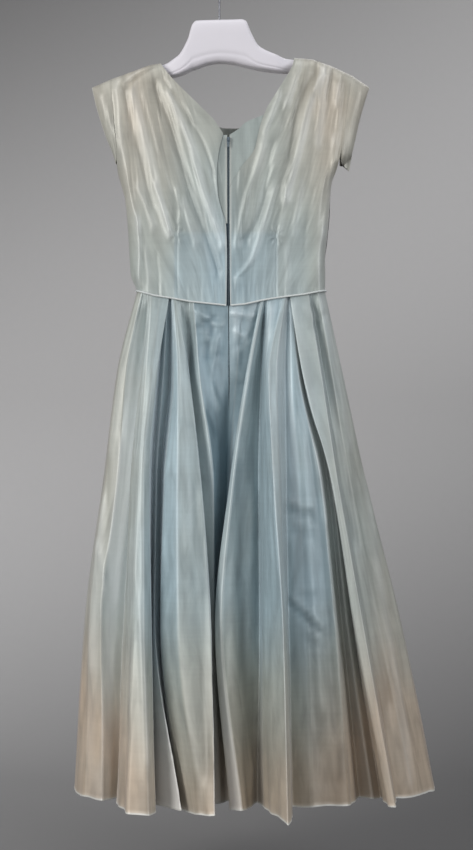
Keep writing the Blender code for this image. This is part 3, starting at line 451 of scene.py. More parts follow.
def lengths_along(points):
    """Length of a line up to each of its points."""
    return np.concatenate([[0], np.cumsum(np.linalg.norm(np.diff(points, axis=0), axis=-1))])


def along(outline, shares):
    """Points (across, height) at shares of the length of a smooth line through an outline."""
    corners = np.array(outline, float)
    lengths = lengths_along(corners)
    lengths /= lengths[-1]
    return np.stack([eased(shares, lengths, corners[:, part]) for part in (0, 1)], axis=-1)


def closed_step(grid):
    """From the column before to the column after, on rows that close on themselves."""
    return np.roll(grid, -1, axis=1) - np.roll(grid, 1, axis=1)


def normals_of(grid, closed=False):
    """Unit normals of a grid: the step across a column times the step up a row."""
    across = closed_step(grid) if closed else np.gradient(grid, axis=1)
    return unit(np.cross(across, np.gradient(grid, axis=0)))


def smooth_noise(across, down, scales, seed):
    """Sum of sines over the cloth, sin(2 pi (across / a + drift down) + phase) for the wave lengths a,
    with seeded drifts and phases; it lies within about -1 and 1."""
    dice = np.random.default_rng(seed)
    total = np.zeros(np.broadcast(across, down).shape)
    for scale in scales:
        drift = dice.uniform(-1, 1) / (scale * 9)
        phase = dice.uniform(0, 2 * math.pi)
        swell = 0.6 + 0.4 * np.sin(2 * math.pi * (down / (scale * 11) + dice.uniform()))
        total += swell * np.sin(2 * math.pi * (across / scale + drift * down) + phase)
    return total / len(scales) ** 0.5


# Mesh helpers


def put_mesh(name, points, faces, uv=None, paints=None):
    """A piece from points in millimetres and faces; uv and paints hold one value for each point."""
    mesh = bpy.data.meshes.new(name)
    mesh.from_pydata((np.asarray(points) * MM).tolist(), [], [tuple(face) for face in faces])
    if uv is not None:
        layer = mesh.uv_layers.new(name="cloth")
        corners = np.empty(len(mesh.loops), np.int32)
        mesh.loops.foreach_get("vertex_index", corners)
        layer.data.foreach_set("uv", np.asarray(uv, np.float32)[corners].ravel())
    for paint, values in (paints or {}).items():
        attribute = mesh.attributes.new(paint, "FLOAT", "POINT")
        attribute.data.foreach_set("value", np.asarray(values, np.float32).ravel())
    mesh.shade_smooth()
    mesh.set_sharp_from_angle(angle=math.radians(60))
    piece = bpy.data.objects.new(name, mesh)
    bpy.context.scene.collection.objects.link(piece)
    return piece


def put_rings(name, rings, uv=None):
    """A closed solid through rings of points, with flat ends."""
    index = np.arange(rings.shape[0] * rings.shape[1]).reshape(rings.shape[:2])
    ahead = np.roll(index, -1, axis=1)
    skin = np.stack([index[:-1], ahead[:-1], ahead[1:], index[1:]], axis=-1).reshape(-1, 4)
    faces = skin.tolist() + [index[0, ::-1].tolist(), index[-1].tolist()]
    return put_mesh(name, rings.reshape(-1, 3), faces, uv)


def tube_rings(path, radius, sides):
    """Rings around a path, p + r (cos t side - sin t top), square to the path's direction."""
    forward = unit(np.gradient(path, axis=0))
    level = np.abs(forward[:, 1]).max() < 0.9
    helper = np.array([0.0, 1.0, 0.0]) if level else np.array([0.0, 0.0, 1.0])
    side = unit(np.cross(forward, helper))
    top = np.cross(side, forward)
    turn = np.linspace(0, 2 * math.pi, sides, endpoint=False)
    around = -np.sin(turn)[None, :, None] * top[:, None] + np.cos(turn)[None, :, None] * side[:, None]
    return path[:, None] + np.reshape(radius, (-1, 1, 1)) * around


def finish_piece(piece, material, node):
    """Gives a piece its finish, and lets it stand for a solid of the part."""
    piece.data.materials.append(material)
    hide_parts(node)
    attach(piece, "dress")


def wall_faces(rows, columns):
    """Faces of a closed wall: the outer grid, the inner grid turned round, and the rim between them."""
    count = rows * columns
    index = np.arange(count).reshape(rows, columns)
    a, b, c, d = index[:-1, :-1], index[:-1, 1:], index[1:, 1:], index[1:, :-1]
    outer = np.stack([a, b, c, d], axis=-1).reshape(-1, 4)
    inner = np.stack([a, d, c, b], axis=-1).reshape(-1, 4) + count
    rim = np.concatenate([index[0], index[1:, -1], index[-1, -2::-1], index[-2:0:-1, 0]])
    ahead = np.roll(rim, -1)
    edge = np.stack([rim, rim + count, ahead + count, ahead], axis=-1)
    return np.concatenate([outer, inner, edge]).tolist()


def build_cloth(node, outer, inner, uv, paints, material, slot, held, rests_on):
    """A closed cloth wall between an outer and an inner grid, both with the same uv and paints, that
    stands for a solid of the part."""
    shape = outer.shape[:2]
    points = np.concatenate([outer.reshape(-1, 3), inner.reshape(-1, 3)])
    both = {paint: np.tile(np.broadcast_to(values, shape).ravel(), 2) for paint, values in paints.items()}
    piece = put_mesh(node + "_cloth", points, wall_faces(*shape), np.tile(uv.reshape(-1, 2), (2, 1)), both)
    finish_piece(piece, material, node)


def pair_up(first, second):
    """A grid of pairs in metres, from two grids or lines in millimetres."""
    return np.stack(np.broadcast_arrays(first, second), axis=-1) * MM


# Skirt


def waist_height(across):
    """Height of the waist seam at a place across."""
    return straight(across, WAIST_LINE)


def hem_edge(levels):
    """1 on the turned edge at the hem, and 0 above it."""
    return blend_in(levels, SKIRT_LENGTH - 3.2, SKIRT_LENGTH - 2.4)


def fold_corners(levels):
    """Corner points (across, depth) of the skirt's folds at each level, the back's then the front's.

    Back: across = 30 + (seen - 30) (1 + depth / 3200). Front: a half oval of cos^0.8 and sin^0.6 whose
    reach grows by each fold's relief."""
    seen = np.stack([eased(levels, WIDTH_LEVELS, fold[WIDTHS]) for fold in BACK_FOLDS], axis=1)
    depth = np.stack([eased(levels, DEPTH_LEVELS, fold[DEPTHS]) for fold in BACK_FOLDS], axis=1)
    tucks = np.array(["tuck" in name for name in BACK_NAMES], float)
    depth += tucks * TUCK_SINK * (blend_in(levels, 0, 45) * (1 - blend_in(levels, 90, 300)))[:, None]
    across = SEEN_ALONG_X + (seen - SEEN_ALONG_X) * (1 + depth / SEEN_FROM)
    back = np.stack([across, depth], axis=-1)
    out = eased(levels, DEPTH_LEVELS, FRONT_DEPTHS)[:, None]
    relief = eased(levels, DEPTH_LEVELS, FRONT_RELIEFS)[:, None]
    right, left = back[:, -1:], back[:, :1]
    middle = (right[..., 0] + left[..., 0]) / 2
    half = (right[..., 0] - left[..., 0]) / 2
    turn = math.pi * column(FRONT_FOLDS, 0)[None]
    oval_x = np.sign(np.cos(turn)) * np.abs(np.cos(turn)) ** 0.8
    oval_y = np.sin(turn) ** 0.6
    reach = relief * column(FRONT_FOLDS, 1)[None] / FRONT_REACH
    front_x = middle + half * oval_x * (1 + reach * 0.35)
    front_y = right[..., 1] + (out - right[..., 1]) * oval_y * (1 + reach)
    return np.concatenate([back, np.stack([front_x, front_y], axis=-1)], axis=1)


def skirt_columns(corners, roundness):
    """The closed outline at each level through its corners: at each corner the arc
    (1 - t)^2 entry + 2 t (1 - t) corner + t^2 leave, and a straight run to the next.

    Gives points, the place of each column along the corners, and how wide its panel is."""
    before = np.roll(corners, 1, axis=1) - corners
    after = np.roll(corners, -1, axis=1) - corners
    before_length = np.linalg.norm(before, axis=-1, keepdims=True)
    after_length = np.linalg.norm(after, axis=-1, keepdims=True)
    reach = np.minimum(roundness, MOST_ROUND * np.minimum(before_length, after_length))
    entry = corners + before / before_length * reach
    leave = corners + after / after_length * reach
    entry_ahead = np.roll(entry, -1, axis=1)
    arc = np.linspace(0, 1, 8)
    wide = after_length[..., 0]
    points, places, panels = [], [], []
    for fold in range(corners.shape[1]):
        t = arc[None, :, None]
        points.append(
            (1 - t) ** 2 * entry[:, fold, None]
            + 2 * t * (1 - t) * corners[:, fold, None]
            + t * t * leave[:, fold, None]
        )
        places.append(fold - 0.25 + 0.5 * arc)
        own = np.minimum(before_length[:, fold], after_length[:, fold])
        panels.append(np.broadcast_to(own, (len(corners), len(arc))))
        count = int(np.clip(wide[:, fold].max() / COLUMN_STEP, 3, 18))
        run = np.linspace(0, 1, count + 2)[1:-1]
        s = run[None, :, None]
        points.append(leave[:, fold, None] * (1 - s) + entry_ahead[:, fold, None] * s)
        places.append(fold + 0.25 + 0.5 * run)
        panels.append(np.broadcast_to(wide[:, fold, None], (len(corners), count)))
    return np.concatenate(points, axis=1), np.concatenate(places), np.concatenate(panels, axis=1)


def line_relief(across, down, creases, fade):
    """Relief of soft creases: out exp(-((across - line) / half width)^2), which dies away at its ends."""
    relief = np.zeros(np.broadcast(across, down).shape)
    for line, out, half_width in creases:
        places, downs = column(line, 0), column(line, 1)
        if downs[0] > downs[-1]:
            places, downs = places[::-1], downs[::-1]
        centre = eased(down, downs, places)
        ends = blend_in(np.minimum(down - downs[0], downs[-1] - down), -fade, 0)
        relief += out * ends * bell((across - centre) / (WIDER * half_width))
    return relief


def cross_relief(across, down, creases):
    """Relief of creases that run across a panel: a bell along a straight line."""
    relief = np.zeros(np.broadcast(across, down).shape)
    for (start_x, start_down), (end_x, end_down), out in creases:
        run = np.array([end_x - start_x, end_down - start_down], float)
        length = np.linalg.norm(run)
        run /= length
        forward = (across - start_x) * run[0] + (down - start_down) * run[1]
        beside = (across - start_x) * run[1] - (down - start_down) * run[0]
        ends = blend_in(np.minimum(forward, length - forward), -8, 6)
        relief += out * ends * bell(beside / CROSS_HALF_WIDTH)
    return relief


def skirt_surface(sizes):
    """The skirt's whole outer surface, rows from the hem up, with its levels, cloth lengths, the place of
    each column along the folds, and the relief of its creases."""
    hem = np.array([SKIRT_LENGTH - 3.0, SKIRT_LENGTH - 2.6, SKIRT_LENGTH])
    levels = np.concatenate([np.linspace(0, 60, 16)[:-1], np.linspace(60, SKIRT_LENGTH - 8, 92), hem])
    levels = levels[::-1]
    down = levels[:, None]
    share = down / SKIRT_LENGTH
    corners = fold_corners(levels)
    roundness = (sizes.pleat_round / MM * (0.6 + 0.8 * share))[..., None]
    flat, places, panels = skirt_columns(corners, roundness)
    steps = np.linalg.norm(np.diff(flat, axis=1), axis=-1).mean(axis=0)
    cloth = np.concatenate([[0], np.cumsum(steps)])[None]
    across = closed_step(flat)
    outwards = unit(np.stack([across[..., 1], -across[..., 0]], axis=-1))
    room = blend_in(panels, 12, 60)
    ripple = smooth_noise(cloth, down, RIPPLE_WAVES, 7) * (0.35 + 2.1 * share) * room
    gather = smooth_noise(cloth, down, GATHER_WAVES, 11) * np.exp(-down / 16.0) * 0.7
    wrinkle = smooth_noise(down * 1.6 + cloth * 0.35, cloth, WRINKLE_WAVES, 3) * 0.35 * room
    seen = SEEN_ALONG_X + (flat[..., 0] - SEEN_ALONG_X) / (1 + flat[..., 1] / SEEN_FROM)
    on_back = blend_in(-outwards[..., 1], 0.05, 0.5) * blend_in(panels, 4, 24)
    creases = line_relief(seen, down, SKIRT_CREASES, 30.0) + cross_relief(seen, down, CROSS_CREASES)
    creased = sizes.crease_scale * creases * on_back
    relief = sizes.crease_scale * (ripple + wrinkle) + creased + gather
    relief *= blend_in(down, 0, 12)
    flat = flat + outwards * relief[..., None]

    tops = waist_height(np.clip(flat[-1, :, 0], WAIST_LINE[0][0], WAIST_LINE[-1][0])) - SEAM
    drops = np.zeros(corners.shape[1])
    for name, drop in HEM_DROPS.items():
        drops[BACK_NAMES.index(name)] = drop
    drop = np.interp(places, np.arange(len(drops)), drops, period=len(drops))
    wave = smooth_noise(cloth, 0 * cloth, HEM_WAVES, 5)[0] * 1.3
    lowest = HEM_Z - (drop + wave)
    heights = tops + (lowest - tops) * share
    grid = np.concatenate([flat, heights[..., None]], axis=-1)
    return grid, levels, cloth[0], places, creased


def sheltered(grid, reach, depth):
    """How far a point lies behind the cloth that stands out most within `reach` of it in its row:
    (own depth - least depth near by) / depth, held between 0 and 1."""
    share = np.empty(grid.shape[:2])
    for row, points in enumerate(grid):
        near = np.abs(points[:, None, 0] - points[None, :, 0]) < reach
        proud = np.where(near, points[None, :, 1], np.inf).min(axis=1)
        share[row] = np.clip((points[:, 1] - proud) / depth, 0, 1)
    return share


def skirt_paints(grid, levels, places, creases):
    """Paints of the skirt: aged is 0 for fresh blue and 1 for yellowed cream, by height and side, the shade
    paint is 1 for the most painted shade and -1 for the most painted light, and rim is a painted highlight,
    1 on a pleat's folded edge."""
    down = levels[:, None]
    reach = np.abs(grid[..., 0] - SEEN_ALONG_X) / np.interp(down, (0, SKIRT_LENGTH), (175, 320))
    side = 0.36 * blend_in(reach, 0.35, 1.0)
    hem = 0.62 * blend_in(down, 470, 800) + 0.2 * blend_in(down, 700, 870)
    patchy = 0.06 * smooth_noise(grid[..., 0], down, (90, 150, 240), 21)
    aged = np.clip(0.12 + side + hem + patchy, 0, 1)
    painted_lights = np.zeros((len(levels), len(BACK_FOLDS) + len(FRONT_FOLDS)))
    tints = np.zeros(painted_lights.shape[1])
    for index, fold in enumerate(BACK_FOLDS):
        tints[index] = fold[TINT]
        painted_lights[:, index] = eased(levels, DEPTH_LEVELS, fold[PAINTED_LIGHT])
    nearest = np.floor(places + 0.5).astype(int)
    own = nearest % len(tints)
    turned = blend_in(places - nearest, -0.2, 0.2)
    tint = tints[own - 1] * (1 - turned) + tints[own] * turned
    aged = np.clip(aged + tint * (1 - blend_in(down, 620, 820)), 0, 1)
    # painted light (+) and painted shade (-) of the panel, from the table
    tone = painted_lights[:, own - 1] * (1 - turned) + painted_lights[:, own] * turned
    # painted shade in the recesses between folds
    shade = RECESS_PAINTED_SHADE * sheltered(grid, SHELTER_REACH, SHELTER_DEPTH)
    # the shade paint: painted shade above 0, painted light below 0
    deep = np.clip(shade - tone - CREASE_PAINTED_LIGHT * creases, -1, 1)
    # rim: a painted highlight along the folded edge of each pleat
    rim = np.zeros_like(aged)
    steps = np.linalg.norm(np.diff(grid[..., :2], axis=1), axis=-1)
    along_cloth = np.concatenate([np.zeros((len(levels), 1)), np.cumsum(steps, axis=1)], axis=1)
    highlighted = [0.0 if any(word in name for word in UNHIGHLIGHTED_FOLDS) else 1.0 for name in BACK_NAMES]
    for fold, strength in enumerate(highlighted + [FRONT_RIM] * len(FRONT_FOLDS)):
        edge = int(np.argmin(np.abs(places - fold)))
        away = along_cloth - along_cloth[:, edge : edge + 1]
        rim = np.maximum(rim, strength * bell(away / RIM_HALF_WIDTH))
    return {"aged": aged, "edge": np.broadcast_to(hem_edge(down), aged.shape), "deep": deep, "rim": rim}


def build_skirt(sizes, colours):
    """The two back pieces and the front of the skirt, cut from one closed pleated tube."""
    grid, levels, cloth, places, creases = skirt_surface(sizes)
    normals = normals_of(grid, closed=True)
    turned = hem_edge(levels)[:, None, None]
    outer = grid + normals * HEM_ROLL * turned
    inner = outer - sizes.cloth_thickness / MM * (1 + HEM_THICKER * turned) * normals
    for end in (0, -1):
        outer[end, :, 2] = inner[end, :, 2] = grid[end, :, 2]
    paints = skirt_paints(grid, levels, places, creases)
    uv = pair_up(cloth[None], -levels[:, None])
    seams = (0, BACK_NAMES.index("centre seam"), BACK_NAMES.index("side right"))
    left, centre, right = (int(np.argmin(np.abs(places - seam))) for seam in seams)
    sideways = unit(closed_step(outer))
    gap = sizes.zip_gap / MM
    centre_gap = np.interp(levels, (0, 18, 131, 190), (gap * 1.8, gap, 0.8 * gap, SIDE_GAP))
    side_gap = np.full(len(levels), SIDE_GAP)
    total = len(places)
    cuts = (
        ("skirt_back_left", left, centre, side_gap, centre_gap, "back_bodice_left"),
        ("skirt_back_right", centre, right, centre_gap, side_gap, "back_bodice_right"),
        ("skirt_front", right, left + total, side_gap, side_gap, "front_bodice"),
    )
    for name, first, last, first_gap, last_gap, above in cuts:
        columns = np.arange(first, last + 1) % total
        sheets = []
        for source in (outer, inner):
            sheet = source[:, columns].copy()
            sheet[:, 0] += sideways[:, columns[0]] * first_gap[:, None]
            sheet[:, -1] -= sideways[:, columns[-1]] * last_gap[:, None]
            sheets.append(sheet)
        own_paints = {paint: values[:, columns] for paint, values in paints.items()}
        shimmer = finish("organza", organza, colours)
        own_uv = uv[:, columns]
        build_cloth(name, *sheets, own_uv, own_paints, shimmer, "organza_blue", "gathered", [above])


# Bodice


def rounding(share):
    """A quarter round, sqrt(1 - (1 - s)^2): nothing at 0, all at 1 and beyond."""
    kept = np.clip(share, 0, 1)
    return np.sqrt(1 - (1 - kept) ** 2)


def thread_lines(across, height):
    """Place of the draped thread that runs through a point, x + slant (z + 400), where the slant turns
    over at the centre back and fades to the sides."""
    slant = 0.34 * np.clip((30 - across) / 70, -1, 1) * (1 - 0.6 * blend_in(np.abs(across - 25), 100, 190))
    return across + slant * (height + 400)


def bodice_depth(across, height, front, creases=None, fine=1.0):
    """Depth of the bodice at places across and heights; the back's is negative."""
    left = smooth(height, BODICE_REACH, 1)
    right = smooth(height, BODICE_REACH, 2)
    from_side = np.minimum(across - left, right - across)
    side_round = rounding(from_side / SIDE_ROUND)
    top_round = rounding((straight(across, SHOULDER_LINE) - height) / SHOULDER_ROUND)
    depth = smooth(height, BODICE_DEPTHS, 2 if front else 1)
    if creases is None:
        creases = FRONT_CREASES if front else BACK_CREASES
    relief = CREASE_RELIEF * line_relief(across, height, creases, FOLD_FADE)
    for tip_x, tip_z, out in DART_TIPS:
        away = np.hypot(across - tip_x, (height - tip_z) * 0.8)
        spokes = np.cos(7 * np.arctan2(height - tip_z, across - tip_x))
        relief += out * spokes * np.exp(-((away - 8) / 5) ** 2)
    threads = smooth_noise(thread_lines(across, height), -height, DRAPE_WAVES, 17)
    relief += fine * DRAPE_RELIEF * blend_in(height, -500, -430) * threads
    if front:
        below_neck = straight(across, FRONT_NECK) - height
        ruched = np.exp(-np.clip(below_neck, 0, 99) / 16) * bell((across - 20) / 55)
        relief += fine * RUCHE_RELIEF * ruched * np.sin(across * 0.95 + 1.5 * np.sin(across * 0.13))
    waist = blend_in(-height, 545, 572) * (1 - blend_in(-height, 588, 596))
    relief += fine * WAIST_RELIEF * waist * smooth_noise(across, -height, (8, 12, 17), 23)
    relief *= side_round * top_round
    sleeve = np.clip((height - SLEEVE_START_Z) / SLEEVE_START_RUN, 0, 1) * SLEEVE_OPEN
    out = top_round * (sleeve + (depth - sleeve) * side_round) + relief
    return out if front else -out


def patch(bottom, top, left, right, columns, rows):
    """Points (across, height) blended between four edge lines: (1 - v) low + v high + (1 - u) start
    + u end, less the same blend of the four corners."""
    low = along(bottom, columns)[None]
    high = along(top, columns)[None]
    start = along(left, rows)[:, None]
    end = along(right, rows)[:, None]
    u = columns[None, :, None]
    v = rows[:, None, None]
    corners = (
        (1 - u) * (1 - v) * low[:, :1]
        + u * (1 - v) * low[:, -1:]
        + (1 - u) * v * high[:, :1]
        + u * v * high[:, -1:]
    )
    return (1 - v) * low + v * high + (1 - u) * start + u * end - corners


def waist_edge(start, end):
    """The bodice's lower edge between two places across, just above the waist seam."""
    places = np.linspace(start, end, 15)
    return tuple(zip(places, waist_height(places) + 2 * SEAM))


def gathered_shares(count, both_ends):
    """Shares from 0 to 1 that crowd towards 1, or towards both ends."""
    even = np.linspace(0, 1, count)
    return (1 - np.cos(math.pi * even)) / 2 if both_ends else np.sin(math.pi / 2 * even)


def zip_edge_highlight(across, height):
    """The painted highlight on the turned cloth beside the zip, e^-((|x - centre| - out) / half width)^2."""
    away = (np.abs(across - CENTRE_BACK_X) - ZIP_EDGE_OUT) / ZIP_EDGE_HALF_WIDTH
    return ZIP_EDGE_HIGHLIGHT * bell(away) * (1 - blend_in(height, ZIP_TOP_Z, ZIP_TOP_Z + 6))


def bodice_paints(grid, front):
    """Paints of the bodice: cream at shoulders and sides, bluer to the waist and the zip, painted light on
    its ridges and painted shade in its troughs and in bands where a fold lies in shade, and a painted
    highlight beside the zip."""
    across, height = grid[..., 0], grid[..., 2]
    ridges = line_relief(across, height, FRONT_CREASES if front else BACK_CREASES, FOLD_FADE)
    # painted light on the ridges of the creases and painted shade in their troughs
    deep = -BODICE_PAINTED_LIGHT * CREASE_PAINTED_LIGHT * ridges
    if not front:
        # painted shade in broad bands
        deep = deep + line_relief(across, height, BODICE_SHADES, 40.0)
    low = blend_in(-height, 250, 560)
    side = blend_in(np.abs(across - 18), 30, 175)
    aged = 0.78 - 0.34 * low - 0.24 * (1 - side)
    aged += 0.05 * smooth_noise(across, -height, (70, 110, 160), 31)
    lined = blend_in(-height, 462, 474) * (1 - blend_in(np.abs(across - 12), 88, 92))
    aged = np.clip(aged - 0.1 * lined, 0, 1)
    # rim: painted highlight on the turned cloth beside the zip
    rim = np.where(grid[..., 1] < 0, zip_edge_highlight(across, height), 0)
    return {"aged": aged, "edge": np.zeros_like(aged), "deep": np.clip(deep, -1, 1), "rim": rim}


def build_bodice_sheet(name, flat, front, seams, sizes, colours):
    """One cloth wall on the bodice's form; `seams` are the columns that lie on a side seam, closed below
    the underarm."""
    across, height = flat[..., 0], flat[..., 1]
    sign = 1 if front else -1
    depth = sign * np.maximum(sign * bodice_depth(across, height, front), SEAM)
    for place in seams:
        depth[:, place] = np.where(height[:, place] < UNDERARM_Z, sign * SEAM, depth[:, place])
    outer = np.stack([across, depth, height], axis=-1)
    normals = normals_of(outer)
    normals[..., 1] = np.where(sign * depth < SEAM_ROUND, 0, normals[..., 1])
    normals = unit(normals)
    normals[0, :, 2] = 0
    inner = outer - sizes.cloth_thickness / MM * normals
    uv = pair_up(thread_lines(across, height), height)
    paints = bodice_paints(outer, front)
    cloth = finish("organza", organza, colours)
    build_cloth(name, outer, inner, uv, paints, cloth, "organza_cream", "hung", ["hanger_body"])


def build_bodice(sizes, colours):
    """The draped back left and right and the front."""
    back_top_left = SHOULDER_LEFT + BACK_NECK_LEFT
    back_top_right = BACK_NECK_RIGHT + SHOULDER_RIGHT
    front_top = SHOULDER_RIGHT[::-1] + FRONT_NECK[::-1] + SHOULDER_LEFT[::-1]
    sheets = (
        ("back_bodice_left", False, back_top_left, SIDE_LEFT, BACK_EDGE_LEFT, (0,), (130, 150)),
        ("back_bodice_right", False, back_top_right, BACK_EDGE_RIGHT, SIDE_RIGHT, (-1,), (130, 150)),
        ("front_bodice", True, front_top, SIDE_RIGHT, SIDE_LEFT, (0, -1), (150, 130)),
    )
    for name, front, top, left, right, seams, (columns, rows) in sheets:
        bottom = waist_edge(left[0][0], right[0][0])
        flat = patch(bottom, top, left, right, gathered_shares(columns, True), gathered_shares(rows, False))
        build_bodice_sheet(name, flat, front, seams, sizes, colours)


def build_under_bodice(sizes, colours):
    """The plain under layer beside the zip, which shows where the draped layer stays open."""
    left_side = ((-12, -452), (-16, -380), (-8, -300))
    left_zip = ((14.0, -452), (13.8, -298))
    right_zip = ((17.6, -452), (17.8, -298))
    right_side = ((66, -452), (88, -340), (94, -256))
    right_top = (right_zip[1], (36, -286), (45, -277), (78, -263), right_side[2])
    sheets = (
        ("under_bodice_left", (left_side[2], left_zip[1]), left_side, left_zip),
        ("under_bodice_right", right_top, right_zip, right_side),
    )
    for name, top, left, right in sheets:
        flat = patch((left[0], right[0]), top, left, right, np.linspace(0, 1, 40), np.linspace(0, 1, 90))
        across, height = flat[..., 0], flat[..., 1]
        plain = -bodice_depth(across, height, False, creases=(), fine=0.0)
        draped = -bodice_depth(across, height, False)
        inside = np.minimum(plain, draped) - sizes.layer_step / MM
        outer = np.stack([across, -inside, height], axis=-1)
        inner = outer - sizes.cloth_thickness / MM * normals_of(outer)
        # painted shade under the edge of the draped layer, to the left of the zip, and a painted highlight
        # beside the zip
        painted_drape_shadow = 0.35 * blend_in(-across, -12, 0)
        paints = {"aged": 0.45, "edge": 0.0, "deep": painted_drape_shadow, "rim": zip_edge_highlight(across, height)}
        cloth = finish("taffeta", taffeta, colours)
        above = ["back_bodice_left", "back_bodice_right"]
        build_cloth(name, outer, inner, flat * MM, paints, cloth, "taffeta_blue", "hung", above)


def build_sleeve(name, seam, edge, outwards, sizes, colours):
    """A cap sleeve: a band from the back underarm over the shoulder to the front one."""
    climb = gathered_shares(70, False)
    across = np.linspace(0, 1, 26)
    inner_line = along(seam, climb)
    inner_line[:, 0] += outwards * ARMHOLE_SEAM
    u = across[None, :, None]
    half = inner_line[:, None] * (1 - u) + along(edge, climb)[:, None] * u
    if outwards < 0:
        half = half[:, ::-1]
    sides = []
    for is_front in (False, True):
        depth = bodice_depth(half[..., 0], half[..., 1], is_front, creases=(), fine=0.6)
        sign = 1 if is_front else -1
        fan = 1.1 * np.sin(across[None] * 5.2 + climb[:, None] * 7.5) * np.clip(sign * depth / 6, 0, 1)
        depth = depth + sign * fan * (1 - climb[:, None])
        depth[-1] = 0
        sides.append(np.stack([half[..., 0], depth, half[..., 1]], axis=-1))
    outer = np.concatenate([sides[0], sides[1][:-1][::-1]])
    inner = outer - sizes.cloth_thickness / MM * normals_of(outer)
    uv = pair_up(np.linspace(0, 40, len(across))[None], lengths_along(outer[:, 0])[:, None])
    paints = bodice_paints(outer, False)
    at_hem = across if outwards > 0 else across[::-1]
    paints["edge"] = blend_in(at_hem, 0.95, 0.985)[None]
    bodice = ["back_bodice_left" if outwards < 0 else "back_bodice_right"]
    cloth = finish("organza", organza, colours)
    build_cloth(name, outer, inner, uv, paints, cloth, "organza_cream", "hung", bodice)


# Trim


def build_piping(name, start, end, front, sizes, colours):
    """A round cord along the waist seam, outside the cloth."""
    sides = 14
    sweep = np.linspace(0, math.pi, 140)
    places = (start + end) / 2 - (end - start) / 2 * np.cos(sweep)
    heights = waist_height(places)
    sign = 1 if front else -1
    plain = bodice_depth(places, heights, front, creases=(), fine=0.0)
    depth = sign * np.maximum(sign * plain, SEAM + 0.1)
    line = np.column_stack([places, depth, heights])
    step = np.gradient(line, axis=0)
    outwards = unit(np.column_stack([step[:, 1], -step[:, 0], np.zeros(len(line))]))
    radius = sizes.piping_radius / MM
    path = line + outwards * (radius + 0.4)
    around = np.linspace(0, 2 * math.pi * radius, sides)
    uv = pair_up(around[None], lengths_along(path)[:, None]).reshape(-1, 2)
    piece = put_rings(name + "_cord", tube_rings(path, radius, sides), uv)
    finish_piece(piece, finish("piping", piping_cloth, colours), name)


# Materials


def finish(name, paint, colours):
    """The material of this name; where it is new, paint fills its node tree."""
    material = bpy.data.materials.get(name)
    if material is None:
        material = bpy.data.materials.new(name)
        material.use_nodes = True
        material.node_tree.nodes.clear()
        paint(material.node_tree, colours)
    return material


def put(tree, kind, values=None, **settings):
    """A shader node with its settings; values sets its sockets, and links where a value is a socket."""
    node = tree.nodes.new(kind)
    for key, value in settings.items():
        setattr(node, key, value)
    for key, value in (values or {}).items():
        if isinstance(value, bpy.types.NodeSocket):
            tree.links.new(value, node.inputs[key])
        else:
            node.inputs[key].default_value = value
    return node


def math_node(tree, operation, *values):
    """The result of a Math node."""
    return put(tree, "ShaderNodeMath", dict(enumerate(values)), operation=operation).outputs[0]


def mixed(tree, factor, first, second, blend="MIX"):
    """The colour of a Mix node."""
    values = {0: factor, 6: first, 7: second}
    return put(tree, "ShaderNodeMix", values, data_type="RGBA", blend_type=blend).outputs[2]


def object_place(tree):
    """The place on the object, in metres."""
    return put(tree, "ShaderNodeTexCoord").outputs["Object"]


def cloth_place(tree):
    """The place on the cloth, in metres."""
    return put(tree, "ShaderNodeUVMap", uv_map="cloth").outputs[0]


def painted(tree, paint):
    """The value of one of the mesh's paints."""
    return put(tree, "ShaderNodeAttribute", attribute_name=paint).outputs["Fac"]


def mapped(tree, vector, scale=(1.0, 1.0, 1.0), turn=(0, 0, 0)):
    """A vector turned, and scaled along each axis."""
    return put(tree, "ShaderNodeMapping", {"Vector": vector, "Scale": scale, "Rotation": turn}).outputs[0]


def noise(tree, vector, scale, detail, distortion=0.0):
    """The value of a Noise texture."""
    values = {"Vector": vector, "Scale": scale, "Detail": detail, "Distortion": distortion}
    return put(tree, "ShaderNodeTexNoise", values).outputs["Fac"]


def bands(tree, vector, scale, distortion=0.0, direction="X"):
    """The value of a Wave texture."""
    values = {"Vector": vector, "Scale": scale, "Distortion": distortion}
    return put(tree, "ShaderNodeTexWave", values, bands_direction=direction).outputs["Fac"]


def ranged(tree, value, low, high, from_low=0.0, from_high=1.0):
    """A value carried over from one range to another."""
    values = {"Value": value, "From Min": from_low, "From Max": from_high, "To Min": low, "To Max": high}
    return put(tree, "ShaderNodeMapRange", values).outputs[0]


def bumped(tree, height, distance, strength):
    """The normal of a surface in relief."""
    values = {"Height": height, "Distance": distance, "Strength": strength}
    return put(tree, "ShaderNodeBump", values).outputs[0]


def shaded(tree, tone, roughness, **values):
    """A Principled shader; an underscore in a key stands for a space."""
    sockets = {"Base Color": tone, "Roughness": roughness}
    for key, value in values.items():
        sockets[key.replace("_", " ")] = value
    return put(tree, "ShaderNodeBsdfPrincipled", sockets).outputs[0]


def lead_out(tree, shader):
    """Leads a shader to the material's surface."""
    put(tree, "ShaderNodeOutputMaterial", {0: shader})


def linear(colour, scale=1.0):
    """A colour property as four numbers."""
    return (colour[0] * scale, colour[1] * scale, colour[2] * scale, 1.0)


PAINTED_LIGHT_COLOUR = (0.4, 0.42, 0.43, 1.0)  # painted light, screened on where the cloth is painted lighter
SHADE_BLUE = (0.26, 0.36, 0.42, 1.0)  # painted shade of fresh cloth in a fold
SHADE_BROWN = (0.40, 0.335, 0.265, 1.0)  # painted shade of yellowed cloth in a fold
RIM_LIGHT = 0.13  # how far a painted highlight (rim) of 1 takes the cloth to the colour of its turned edge
